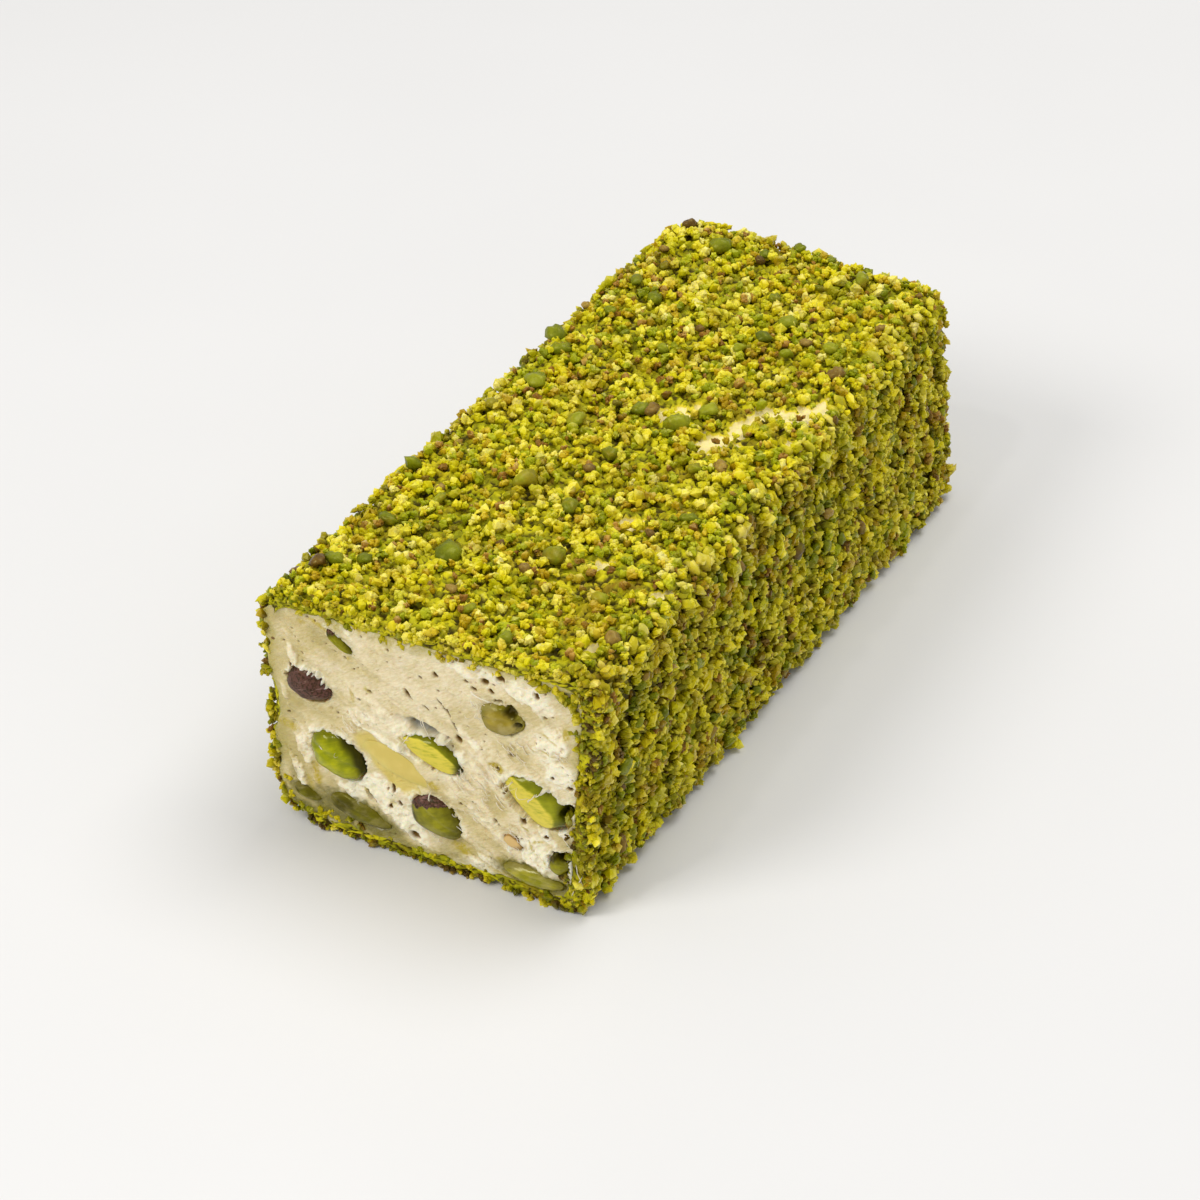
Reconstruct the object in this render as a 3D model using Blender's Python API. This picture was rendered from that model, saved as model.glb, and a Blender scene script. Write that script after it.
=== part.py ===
"""A bar of Turkish delight: white pistachio nougat rolled in chopped pistachio and cut across at one end.

The bar lies along Y on its flat underside at z = 0, with the bare cut at -Y and the coated end at +Y.
The coat is one crumb shell, open at the cut. The nougat fills it, and its nuts show at the cut.
Sizes are in metres.
"""

import math
import random

import bmesh
import bpy
from mathutils import Matrix, Vector

# The bar over its crumbs.
LENGTH = 0.110
WIDTH = 0.045
HEIGHT = 0.035
TOP_ROUNDING = 0.003
FOOT_ROUNDING = 0.0025
BACK_ROUNDING = 0.005

# How far each corner of the hand-pressed bar stands off a true box, across and up.
CORNER_SHIFTS = {
    ("left", "front", "foot"): (-0.0003, 0.0),
    ("right", "front", "foot"): (-0.0015, 0.0),
    ("left", "back", "foot"): (0.0, 0.0),
    ("right", "back", "foot"): (0.0012, 0.0),
    ("left", "front", "top"): (-0.0012, 0.0),
    ("right", "front", "top"): (0.0011, 0.0011),
    ("left", "back", "top"): (0.0020, 0.0003),
    ("right", "back", "top"): (-0.0014, -0.0026),
}

# How thick the crumbs lie on each side of the nougat.
COAT_TOP = 0.0019
COAT_FOOT = 0.0017
COAT_LEFT = 0.0013
COAT_RIGHT = 0.0023
COAT_BACK = 0.0019
GAP = 0.0003
WELD = 0.000002

# Relief of the packed crumbs, and the larger chips of nut pressed in among them.
CRUMB_PITCH = 0.0028
CRUMB_RELIEF = 0.00055
CHIP_COUNT = 120
CHIP_LARGEST = 0.0023
CHIP_SMALLEST = 0.0013
CHIP_STRETCHES = ((0.95, 1.25), (0.75, 0.95), (0.58, 0.66))
CHIP_FACETING = (0.84, 1.12)
CHIP_LEAN = 0.25
CHIP_SUNK = 0.12
CHIP_EDGE_MARGIN = 0.0024
CHIP_FOOT_MARGIN = 0.0042

# Relief of the torn, knife-dragged nougat at the cut, and the wider cells that its long sides bend by.
SIDE_PITCH = 0.020
CUT_PITCH = 0.0055
CUT_RELIEF = 0.00025
NOUGAT_ROUNDING = 0.0022
SEAT_FRONT = 3.0

SEED = 20
PLASTIC_NUMBER = 1.3247179572
COAT_GREEN = (0.33, 0.36, 0.035)
NOUGAT_CREAM = (0.83, 0.78, 0.62)
SKIN_PURPLE = (0.075, 0.022, 0.030)
BRIGHT_GREEN = (0.18, 0.33, 0.015)
YELLOW_GREEN = (0.50, 0.54, 0.09)
DULL_OLIVE = (0.20, 0.20, 0.05)
PALE_YELLOW = (0.72, 0.62, 0.28)
BLUSH_BROWN = (0.42, 0.25, 0.17)

# The nuts at the cut, in millimetres: centre across and up, half length and half height of what shows, the
# turn of its long axis in degrees, how far it stands out, how deep it lies in the nougat, and its colour.
NUTS = {
    "purple_kernel": ((-17.3, 22.4), (3.2, 2.3), -15, 0.5, 5.0, SKIN_PURPLE),
    "sliver_kernel": ((-12.5, 30.6), (2.0, 0.7), -40, 0.3, 2.4, DULL_OLIVE),
    "olive_kernel": ((10.1, 26.4), (3.0, 2.1), 12, 0.3, 5.2, DULL_OLIVE),
    "green_kernel": ((-13.7, 12.6), (3.9, 2.7), -20, 1.1, 5.6, BRIGHT_GREEN),
    "pale_kernel": ((-5.0, 14.3), (4.9, 1.6), -22, 0.3, 3.4, PALE_YELLOW),
    "split_kernel": ((0.1, 17.7), (4.0, 2.0), -17, 0.6, 5.4, YELLOW_GREEN),
    "skinned_kernel": ((0.3, 8.1), (3.5, 2.7), -30, 0.7, 5.4, BRIGHT_GREEN),
    "large_kernel": ((14.5, 15.3), (4.7, 2.8), -20, 0.9, 6.0, YELLOW_GREEN),
    "small_kernel": ((16.9, 7.3), (1.5, 1.8), 0, 0.4, 3.6, BRIGHT_GREEN),
    "right_foot_kernel": ((14.0, 3.7), (4.1, 1.2), -5, 0.3, 2.6, DULL_OLIVE),
    "left_foot_kernel": ((-10.9, 4.9), (4.3, 1.5), -13, 0.3, 3.0, DULL_OLIVE),
    "streak_kernel": ((-18.6, 5.3), (1.9, 0.8), -15, 0.3, 2.2, DULL_OLIVE),
    "blush_kernel": ((11.2, 8.2), (1.5, 0.9), -25, 0.4, 2.4, BLUSH_BROWN),
}
NUT_SIDES = 10
NUT_RINGS = 7
SMALL_NUT_LENGTH = 2.5
SMALL_NUT_SIDES = 8
SMALL_NUT_RINGS = 5
NUT_UNEVENNESS = 0.05
NUT_TAPER = 0.14
NUT_GROOVE = 0.3
NUT_GROOVE_WIDTH = 0.3
MILLIMETRE = 0.001


def clear_scene():
    for old in list(bpy.data.objects):
        bpy.data.objects.remove(old, do_unlink=True)


def new_collection(name):
    collection = bpy.data.collections.new(name)
    bpy.context.scene.collection.children.link(collection)
    return collection


def finish(name, colour, roughness):
    """A Principled material of one colour."""
    material = bpy.data.materials.new(name)
    material.use_nodes = True
    shader = material.node_tree.nodes["Principled BSDF"]
    shader.inputs["Base Color"].default_value = (*colour, 1.0)
    shader.inputs["Roughness"].default_value = roughness
    shader.inputs["Metallic"].default_value = 0.0
    return material


def make_object(name, bm, collection, material=None):
    """An object from a bmesh, which is freed."""
    mesh = bpy.data.meshes.new(name)
    bmesh.ops.recalc_face_normals(bm, faces=bm.faces)
    bm.to_mesh(mesh)
    bm.free()
    made = bpy.data.objects.new(name, mesh)
    collection.objects.link(made)
    if material is not None:
        mesh.materials.append(material)
    return made


def pressed(point):
    """Moves a point of the true box with the corners of the hand-pressed bar, blended along three axes."""
    across = point.x / WIDTH + 0.5
    along = point.y / LENGTH + 0.5
    up = point.z / HEIGHT
    shares = {"left": 1 - across, "right": across, "front": 1 - along, "back": along}
    shares |= {"foot": 1 - up, "top": up}
    moved = point.copy()
    for (side, end, level), (shift_across, shift_up) in CORNER_SHIFTS.items():
        weight = shares[side] * shares[end] * shares[level]
        moved.x += weight * shift_across
        moved.z += weight * shift_up
    return moved


def block(left, right, front, back, foot, top):
    """A box between these planes, as a bmesh."""
    bm = bmesh.new()
    bmesh.ops.create_cube(bm, size=1.0)
    for vert in bm.verts:
        vert.co.x = left if vert.co.x < 0 else right
        vert.co.y = front if vert.co.y < 0 else back
        vert.co.z = foot if vert.co.z < 0 else top
    return bm


def round_edges(bm, top_rounding, foot_rounding, back_rounding, segments):
    """Rounds the box's edges, apart from the four round the cut."""
    front = min(vert.co.y for vert in bm.verts)
    foot = min(vert.co.z for vert in bm.verts)

    def bevel(wanted, radius):
        edges = [edge for edge in bm.edges if wanted(*edge.verts)]
        bmesh.ops.bevel(bm, geom=edges, offset=radius, segments=segments, profile=0.5, affect="EDGES")

    def at_front(vert):
        return vert.co.y < front + GAP

    def at_foot(vert):
        return vert.co.z < foot + GAP

    bevel(lambda a, b: abs(a.co.z - b.co.z) > back_rounding and not at_front(a), back_rounding)
    bevel(lambda a, b: at_foot(a) and at_foot(b) and not (at_front(a) and at_front(b)), foot_rounding)
    top = max(vert.co.z for vert in bm.verts)

    def at_top(vert):
        return vert.co.z > top - GAP

    bevel(lambda a, b: at_top(a) and at_top(b) and not (at_front(a) and at_front(b)), top_rounding)


def slice_block(bm, axis, pitch, only_front=False):
    """Cuts the faces at even stations along one axis, about one pitch apart."""
    low = min(vert.co[axis] for vert in bm.verts)
    high = max(vert.co[axis] for vert in bm.verts)
    front = min(vert.co.y for vert in bm.verts)
    count = max(1, round((high - low) / pitch))
    normal = Vector([float(axis == index) for index in range(3)])
    for step in range(1, count):
        faces = bm.faces[:]
        if only_front:
            faces = [face for face in faces if all(vert.co.y < front + GAP for vert in face.verts)]
        edges = {edge for face in faces for edge in face.edges}
        verts = {vert for face in faces for vert in face.verts}
        station = low + (high - low) * step / count
        bmesh.ops.bisect_plane(
            bm, geom=[*verts, *edges, *faces], dist=WELD, plane_co=normal * station, plane_no=normal
        )


def press(bm):
    for vert in bm.verts:
        vert.co = pressed(vert.co)


def crumb_shell():
    """The outer skin of the coat, roughened by packed crumbs, its underside pressed flat."""
    draw = random.Random(SEED)
    bm = block(-WIDTH / 2, WIDTH / 2, -LENGTH / 2, LENGTH / 2, 0.0, HEIGHT)
    round_edges(bm, TOP_ROUNDING, FOOT_ROUNDING, BACK_ROUNDING, segments=2)
    for axis in range(3):
        slice_block(bm, axis, CRUMB_PITCH)
    bm.normal_update()
    front = -LENGTH / 2
    for vert in bm.verts:
        flat_underside = vert.normal.z < -0.9
        inside_cut = vert.co.y < front + GAP and abs(vert.normal.y) > 0.9
        lift = draw.uniform(-CRUMB_RELIEF, CRUMB_RELIEF)
        if flat_underside or inside_cut:
            continue
        outward = vert.normal.copy()
        if vert.co.y < front + GAP:
            outward.y = 0.0
            outward.normalize()
        vert.co += outward * lift
        vert.co.z = max(vert.co.z, 0.0)
    press(bm)
    return bm


def nougat_space(grow, front):
    """The block of nougat inside the crumbs, grown evenly by this much, from this front plane."""
    bm = block(
        COAT_LEFT - WIDTH / 2 - grow,
        WIDTH / 2 - COAT_RIGHT + grow,
        front,
        LENGTH / 2 - COAT_BACK + grow,
        COAT_FOOT - grow,
        HEIGHT - COAT_TOP + grow,
    )
    rounding = NOUGAT_ROUNDING + grow
    round_edges(bm, rounding, rounding, rounding, segments=2)
    for axis in range(3):
        slice_block(bm, axis, SIDE_PITCH)
    return bm


def chip_places():
    """Spreads the chips evenly over the top, the two sides and the far end, the largest first.

    The four faces are unrolled into one strip. Steps of 1 / p along it and 1 / p^2 around it, p being the
    plastic number, leave no clumps.
    """
    draw = random.Random(SEED + 1)
    reach = HEIGHT - CHIP_FOOT_MARGIN - CHIP_EDGE_MARGIN
    length = LENGTH - 2 * CHIP_EDGE_MARGIN
    width = WIDTH - 2 * CHIP_EDGE_MARGIN
    strip_areas = [width * length, reach * length, reach * length, reach * width]
    step_along = 1 / PLASTIC_NUMBER
    step_around = 1 / PLASTIC_NUMBER**2
    around = 0.5
    along = 0.5
    for number in range(CHIP_COUNT):
        around = (around + step_around) % 1.0
        along = (along + step_along) % 1.0
        spot = around * sum(strip_areas)
        face = 0
        while spot > strip_areas[face]:
            spot -= strip_areas[face]
            face += 1
        cross = spot / strip_areas[face]
        up = CHIP_FOOT_MARGIN + cross * reach
        side = (cross - 0.5) * width
        down_bar = (along - 0.5) * length
        place, outward = {
            0: (Vector((side, down_bar, HEIGHT)), Vector((0, 0, 1))),
            1: (Vector((WIDTH / 2, down_bar, up)), Vector((1, 0, 0))),
            2: (Vector((-WIDTH / 2, down_bar, up)), Vector((-1, 0, 0))),
            3: (Vector(((along - 0.5) * width, LENGTH / 2, up)), Vector((0, 1, 0))),
        }[face]
        share = number / (CHIP_COUNT - 1)
        size = CHIP_LARGEST + (CHIP_SMALLEST - CHIP_LARGEST) * math.sqrt(share)
        yield pressed(place), outward, size * draw.uniform(0.92, 1.08), draw


def add_chip(place, outward, size, draw, collection):
    """One angular chip of nut, half sunk in the crumbs."""
    bm = bmesh.new()
    bmesh.ops.create_icosphere(bm, subdivisions=1, radius=1.0)
    stretch = [draw.uniform(*limits) for limits in CHIP_STRETCHES]
    for vert in bm.verts:
        vert.co *= draw.uniform(*CHIP_FACETING)
        vert.co = Vector([vert.co[axis] * stretch[axis] * size for axis in range(3)])
    chip = make_object("chip", bm, collection)
    turn = draw.uniform(0, math.tau)
    lean = Vector([draw.uniform(-CHIP_LEAN, CHIP_LEAN), draw.uniform(-CHIP_LEAN, CHIP_LEAN), 1.0])
    upright = Vector((0, 0, 1))
    chip.rotation_mode = "QUATERNION"
    chip.rotation_quaternion = upright.rotation_difference(outward) @ upright.rotation_difference(lean)
    chip.rotation_quaternion @= Matrix.Rotation(turn, 3, "Z").to_quaternion()
    chip.location = place - outward * size * CHIP_SUNK


def boolean(target, name, operation, collection):
    cut = target.modifiers.new(name, "BOOLEAN")
    cut.operand_type = "COLLECTION"
    cut.collection = collection
    cut.operation = operation
    cut.solver = "EXACT"


def apply_modifiers(target):
    graph = bpy.context.evaluated_depsgraph_get()
    mesh = bpy.data.meshes.new_from_object(target.evaluated_get(graph))
    target.modifiers.clear()
    target.data = mesh


def keep_largest_body(target):
    """Drops loose scraps and sealed hollows, and merges the flat facets of the underside."""
    bm = bmesh.new()
    bm.from_mesh(target.data)
    bmesh.ops.remove_doubles(bm, verts=bm.verts, dist=WELD)
    unseen = set(bm.verts)
    bodies = []
    while unseen:
        body = {unseen.pop()}
        frontier = set(body)
        while frontier:
            vert = frontier.pop()
            beside = {edge.other_vert(vert) for edge in vert.link_edges} - body
            body |= beside
            frontier |= beside
        unseen -= body
        bodies.append(body)
    bodies.sort(key=len)
    scraps = [vert for body in bodies[:-1] for vert in body]
    bmesh.ops.delete(bm, geom=scraps, context="VERTS")
    underside = {face for face in bm.faces if all(vert.co.z < WELD for vert in face.verts)}
    flat_edges = [edge for edge in bm.edges if edge.link_faces and underside.issuperset(edge.link_faces)]
    bmesh.ops.dissolve_edges(bm, edges=flat_edges, use_verts=True)
    bmesh.ops.triangulate(bm, faces=bm.faces)
    bm.to_mesh(target.data)
    bm.free()


def empty_collection(collection):
    for used in list(collection.objects):
        bpy.data.objects.remove(used, do_unlink=True)
    bpy.data.collections.remove(collection)


def make_coat(parts):
    coat = make_object("pistachio_coat", crumb_shell(), parts, finish("chopped pistachio", COAT_GREEN, 0.7))
    hollow = new_collection("coat hollow")
    space = nougat_space(GAP, -LENGTH / 2 - COAT_BACK)
    press(space)
    make_object("nougat hollow", space, hollow)
    chips = new_collection("chips")
    for place, outward, size, draw in chip_places():
        add_chip(place, outward, size, draw, chips)
    boolean(coat, "chips", "UNION", chips)
    apply_modifiers(coat)
    empty_collection(chips)
    boolean(coat, "hollow", "DIFFERENCE", hollow)
    apply_modifiers(coat)
    empty_collection(hollow)
    keep_largest_body(coat)
    return coat


def nut_body(half_length, half_height, proud, depth, grow, draw):
    """A nut with its long axis on X, its domed front towards -Y and a rounder back sunk in the nougat.

    A groove runs along it between its two halves, and one end is a little narrower. Sizes are in millimetres.
    """
    small = half_length < SMALL_NUT_LENGTH
    sides = SMALL_NUT_SIDES if small else NUT_SIDES
    rings = SMALL_NUT_RINGS if small else NUT_RINGS
    bm = bmesh.new()
    bmesh.ops.create_uvsphere(bm, u_segments=sides, v_segments=rings, radius=1.0)
    bmesh.ops.rotate(bm, verts=bm.verts, matrix=Matrix.Rotation(math.radians(90), 3, "Y"))
    for vert in bm.verts:
        vert.co *= draw.uniform(1 - NUT_UNEVENNESS, 1 + NUT_UNEVENNESS)
        narrowing = 1 - NUT_TAPER * vert.co.x
        groove = 1 - NUT_GROOVE * math.exp(-((vert.co.z / NUT_GROOVE_WIDTH) ** 2))
        front_or_back = proud * groove if vert.co.y < 0 else depth
        vert.co.x *= half_length * MILLIMETRE + grow
        vert.co.y *= (front_or_back * MILLIMETRE + grow) * narrowing
        vert.co.z *= (half_height * MILLIMETRE + grow) * narrowing
    return bm


def make_nut(name, collection, grow=0.0, front=None, material=None):
    """The named nut in its place, or the seat that it needs, grown by a gap and with a front of its own."""
    (across, up), (half_length, half_height), turn, proud, depth, _ = NUTS[name]
    draw = random.Random(SEED + list(NUTS).index(name))
    bm = nut_body(half_length, half_height, front or proud, depth, grow, draw)
    nut = make_object(name, bm, collection, material)
    nut.location = (across * MILLIMETRE, -LENGTH / 2, up * MILLIMETRE)
    nut.rotation_euler = (0.0, -math.radians(turn), 0.0)
    return nut


def make_nougat(parts):
    """The nougat through the whole bar, its cut end torn and dragged, with a seat for each nut."""
    draw = random.Random(SEED + 2)
    bm = nougat_space(0.0, -LENGTH / 2)
    for axis in (0, 2):
        slice_block(bm, axis, CUT_PITCH, only_front=True)
    front = -LENGTH / 2
    for vert in bm.verts:
        if vert.co.y < front + GAP and all(face.normal.y < -0.9 for face in vert.link_faces):
            vert.co.y += draw.uniform(-CUT_RELIEF, CUT_RELIEF)
    press(bm)
    nougat = make_object("nougat", bm, parts, finish("nougat", NOUGAT_CREAM, 0.45))
    seats = new_collection("nut seats")
    for name in NUTS:
        make_nut(name, seats, grow=GAP, front=SEAT_FRONT)
    boolean(nougat, "seats", "DIFFERENCE", seats)
    apply_modifiers(nougat)
    empty_collection(seats)
    keep_largest_body(nougat)
    return nougat


def make_nuts(parts):
    nuts = []
    for name, (*_, colour) in NUTS.items():
        nut = make_nut(name, parts, material=finish(name.replace("_", " "), colour, 0.35))
        nut.data.shade_smooth()
        nuts.append(nut)
    return nuts


def stand_on_origin(pieces, coat):
    """Hangs the pieces on one empty, placed so that the origin is under the middle of the bar."""
    low = Vector((min(vert.co[axis] for vert in coat.data.vertices) for axis in range(3)))
    high = Vector((max(vert.co[axis] for vert in coat.data.vertices) for axis in range(3)))
    nut_front = max(nut[3] for nut in NUTS.values()) * MILLIMETRE
    low.y = min(low.y, -LENGTH / 2 - nut_front)
    bar = bpy.data.objects.new("turkish_delight", None)
    bpy.context.scene.collection.objects.link(bar)
    for piece in pieces:
        piece.parent = bar
    bar.location = (-(low.x + high.x) / 2, -(low.y + high.y) / 2, 0.0)


clear_scene()
parts = new_collection("turkish delight")
coat = make_coat(parts)
nougat = make_nougat(parts)
nuts = make_nuts(parts)
stand_on_origin([coat, nougat, *nuts], coat)
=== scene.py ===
"""The looks of a bar of Turkish delight: white pistachio nougat rolled in chopped pistachio, cut at one end.

The bar lies along Y with its cut at -Y. Shapes are worked out in millimetres of the bar's own block, whose
middle is at x = 0, y = 0 on its underside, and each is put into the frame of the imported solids, in metres.
"""

import math

import bpy
import numpy as np
from mathutils import Matrix, Vector


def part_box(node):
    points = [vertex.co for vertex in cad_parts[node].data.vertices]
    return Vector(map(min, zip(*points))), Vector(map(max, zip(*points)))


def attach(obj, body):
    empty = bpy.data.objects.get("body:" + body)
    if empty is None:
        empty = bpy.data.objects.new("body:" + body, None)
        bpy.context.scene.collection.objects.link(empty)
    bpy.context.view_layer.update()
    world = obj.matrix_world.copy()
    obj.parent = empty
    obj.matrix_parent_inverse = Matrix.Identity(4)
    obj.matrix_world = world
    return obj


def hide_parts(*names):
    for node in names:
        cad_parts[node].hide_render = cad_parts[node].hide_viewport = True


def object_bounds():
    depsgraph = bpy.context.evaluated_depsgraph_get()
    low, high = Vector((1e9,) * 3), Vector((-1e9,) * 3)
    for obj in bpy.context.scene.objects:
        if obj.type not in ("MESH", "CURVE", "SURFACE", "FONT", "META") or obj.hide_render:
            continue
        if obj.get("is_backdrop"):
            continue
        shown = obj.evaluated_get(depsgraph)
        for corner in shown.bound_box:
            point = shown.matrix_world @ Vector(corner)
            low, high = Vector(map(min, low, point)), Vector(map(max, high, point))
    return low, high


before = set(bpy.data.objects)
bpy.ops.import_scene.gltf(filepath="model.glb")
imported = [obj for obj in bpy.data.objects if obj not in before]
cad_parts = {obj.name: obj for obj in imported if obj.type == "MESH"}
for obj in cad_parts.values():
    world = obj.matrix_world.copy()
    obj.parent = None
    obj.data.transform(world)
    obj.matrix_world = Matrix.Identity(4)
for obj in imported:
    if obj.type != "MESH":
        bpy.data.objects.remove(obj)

solid_low, solid_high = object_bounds()


# ----------------------------------------------------------------------------------------------------------
# The nougat: sugar and egg white whipped pale, set firm and still sticky. It runs through the whole bar. The
# knife has torn and dragged its cut end, opened bubbles in it and pulled it into films over some of the nuts.

MM = 0.001
BAR_LENGTH = 110.0
BAR_WIDTH = 45.0
BAR_HEIGHT = 35.0
CUT = -BAR_LENGTH / 2
NOUGAT_LEFT = -21.2
NOUGAT_RIGHT = 20.2
NOUGAT_FOOT = 1.7
NOUGAT_TOP = 33.1
NOUGAT_BACK = 53.1
NOUGAT_ROUNDING = 2.2
NOUGAT_MIDDLE = np.array([(NOUGAT_LEFT + NOUGAT_RIGHT) / 2, (NOUGAT_FOOT + NOUGAT_TOP) / 2])

# How far each corner of the hand-pressed bar stands off a true box, across and up: by side, end and level.
CORNER_SHIFTS = np.array(
    [
        [[(-0.3, 0.0), (-1.2, 0.0)], [(0.0, 0.0), (2.0, 0.3)]],
        [[(-1.5, 0.0), (1.1, 1.1)], [(1.2, 0.0), (-1.4, -2.6)]],
    ]
)

# The left foot edge is worn round: how far it is drawn in, and how far in from the edge that is felt.
WORN_EDGE = 2.3
WORN_REACH = 6.5


def pressed(points):
    """Moves points of the true box with the corners of the hand-pressed bar.

    A point takes each corner's shift in the share left to it: its nearness to that side, end and level,
    multiplied together. Near the left foot edge it is also drawn in and up by 1 - distance / reach.
    """
    across = points[..., 0] / BAR_WIDTH + 0.5
    along = points[..., 1] / BAR_LENGTH + 0.5
    up = points[..., 2] / BAR_HEIGHT
    sides = np.stack((1 - across, across), -1)
    ends = np.stack((1 - along, along), -1)
    levels = np.stack((1 - up, up), -1)
    shift = np.einsum("...s,...e,...l,selc->...c", sides, ends, levels, CORNER_SHIFTS)
    moved = points.copy()
    moved[..., 0] += shift[..., 0]
    moved[..., 2] += shift[..., 1]
    off_edge = np.hypot(points[..., 0] + BAR_WIDTH / 2, points[..., 2])
    worn = WORN_EDGE * math.sqrt(0.5) * np.clip(1 - off_edge / WORN_REACH, 0, 1)
    moved[..., 0] += worn
    moved[..., 2] += worn
    return moved


# The block's own middle in the frame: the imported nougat's widest and backmost planes say where it lies.
nougat_low, nougat_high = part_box("nougat")
widest_place = pressed(np.array([NOUGAT_LEFT, CUT, NOUGAT_TOP - NOUGAT_ROUNDING]))
BLOCK_MIDDLE = np.array([nougat_low.x / MM - widest_place[0], nougat_high.y / MM - NOUGAT_BACK, 0.0])

# The camera that took the bar: where it looks, from how far and at what angles. Places named by a pixel of a
# 1200 by 1200 picture are looked up through it.
PICTURE_MIDDLE = 600.0
FOCAL_PIXELS = 3467.25
LOOKS_AT = np.array([-9.14, 5.52, 0.0])
CAMERA_DISTANCE = 480.0
CAMERA_TURN = math.radians(28.28)
CAMERA_PITCH = math.radians(35.0)
CAMERA_ROLL = math.radians(0.543)
forward = np.array(
    [
        -math.sin(CAMERA_TURN) * math.cos(CAMERA_PITCH),
        math.cos(CAMERA_TURN) * math.cos(CAMERA_PITCH),
        -math.sin(CAMERA_PITCH),
    ]
)
rightward = np.array([math.cos(CAMERA_TURN), math.sin(CAMERA_TURN), 0.0])
upward = np.cross(rightward, forward)
camera_place = LOOKS_AT - forward * CAMERA_DISTANCE


def sight_lines(pixels):
    """The direction from the camera through each pixel (across, down)."""
    pixels = np.asarray(pixels, float)
    across = (pixels[..., 0] - PICTURE_MIDDLE) / FOCAL_PIXELS
    up = (PICTURE_MIDDLE - pixels[..., 1]) / FOCAL_PIXELS
    level_across = math.cos(CAMERA_ROLL) * across + math.sin(CAMERA_ROLL) * up
    level_up = math.cos(CAMERA_ROLL) * up - math.sin(CAMERA_ROLL) * across
    return forward + level_across[..., None] * rightward + level_up[..., None] * upward


def on_cut(pixels):
    """Where each pixel meets the plane of the cut: millimetres across and up."""
    lines = sight_lines(pixels)
    reach = (CUT - camera_place[1]) / lines[..., 1]
    places = camera_place + reach[..., None] * lines
    return places[..., [0, 2]]


# The nuts that show at the cut, in millimetres: centre across and up, half length and half height, the turn
# of the long axis in degrees, how far the nut stands out, how deep it lies, and how much film hides it.
NUTS = {
    "purple_kernel": ((-17.3, 22.4), (2.95, 2.1), -15, 0.5, 5.0, 0.0),
    "sliver_kernel": ((-12.5, 30.6), (2.0, 0.7), -40, 0.3, 2.4, 0.0),
    "olive_kernel": ((10.1, 26.4), (3.0, 2.1), 12, 0.3, 5.2, 0.1),
    "green_kernel": ((-13.6, 12.8), (3.9, 2.95), -20, 1.1, 5.6, 0.0),
    "pale_kernel": ((-5.0, 14.3), (4.9, 1.6), -22, 0.1, 3.4, 0.1),
    "split_kernel": ((0.1, 17.7), (4.0, 2.0), -17, 0.6, 5.4, 0.0),
    "skinned_kernel": ((0.3, 8.1), (3.5, 2.7), -30, 0.7, 5.4, 0.0),
    "large_kernel": ((14.5, 15.5), (4.7, 3.1), -20, 0.9, 6.0, 0.0),
    "small_kernel": ((17.6, 7.2), (1.35, 1.6), 0, 0.4, 3.6, 0.0),
    "right_foot_kernel": ((14.0, 3.7), (4.1, 1.2), -5, 0.3, 2.6, 0.5),
    "left_foot_kernel": ((-10.9, 4.9), (4.3, 1.5), -13, 0.3, 3.0, 0.4),
    "streak_kernel": ((-18.6, 5.3), (1.9, 0.8), -15, 0.3, 2.2, 0.8),
    "blush_kernel": ((11.2, 8.2), (1.35, 0.75), -25, 0.4, 2.4, 0.1),
}
# From this share of film on, a nut has no gap round it: the nougat runs onto it. A nut that stands out no
# more than this has no seat, as it was cut level with the nougat.
SOFT_SEAT = 0.1
FLUSH = 0.1
# How far out a nut shows through the film round it, in shares of its own size: under thin film, under thick.
VEIL_REACH = (1.5, 2.0)
THICK_FILM = 0.3

# Opened bubbles: pixel across and down, half length and half height in millimetres, turn in degrees.
BUBBLES = (
    (435, 675, 0.42, 0.30, -30), (409, 694, 0.80, 0.36, -55), (370, 691, 0.36, 0.28, -20),
    (360, 699, 0.24, 0.20, 0), (273, 638, 0.26, 0.20, 0), (296, 604, 0.24, 0.34, 0),
    (289, 711, 0.26, 0.20, 0), (538, 695, 0.55, 0.30, -60), (571, 788, 0.42, 0.34, 0),
    (293, 664, 0.62, 0.22, -50), (458, 741, 0.55, 0.42, -60), (524, 821, 0.55, 0.40, -50),
    (497, 820, 0.32, 0.26, -40), (501, 824, 0.30, 0.22, -40), (394, 788, 0.60, 0.26, -80),
    (370, 793, 0.62, 0.30, -50), (392, 805, 0.34, 0.30, 0), (401, 803, 0.45, 0.26, -60),
    (377, 802, 0.20, 0.18, 0), (548, 836, 0.42, 0.26, 30), (556, 851, 0.32, 0.26, 0),
    (462, 803, 0.24, 0.20, 0), (407, 829, 0.55, 0.25, -30), (417, 834, 0.70, 0.38, -25),
    (512, 755, 0.34, 0.28, -30), (498, 769, 0.30, 0.24, -40), (502, 678, 0.60, 0.34, -20),
    (484, 683, 0.52, 0.42, 0), (473, 690, 0.40, 0.28, -20), (465, 683, 0.34, 0.26, 0),
    (491, 692, 0.40, 0.26, -40), (546, 718, 0.26, 0.22, 0), (426, 708, 0.60, 0.18, -45),
    (421, 677, 0.30, 0.16, -30), (345, 658, 0.34, 0.18, -20), (364, 664, 0.22, 0.16, 0),
    (441, 703, 0.80, 0.15, -55), (448, 713, 0.80, 0.17, -62), (454, 726, 0.90, 0.15, -66),
    (446, 709, 0.45, 0.12, 10), (505, 792, 0.26, 0.20, 0), (555, 776, 0.24, 0.20, 0),
)
BUBBLE_DEPTH = 0.8
# Deep holes, in the same columns. Painted shade fills them, as it does the bubbles.
DARK_HOLES = (
    (512, 711, 0.85, 0.80, 0), (569, 811, 0.80, 1.20, -30), (566, 857, 1.00, 0.70, 0),
    (372, 797, 0.75, 0.45, -40), (498, 702, 0.70, 0.30, 10), (520, 724, 0.50, 0.45, 0),
)
HOLE_DEPTH = 2.6

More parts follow.
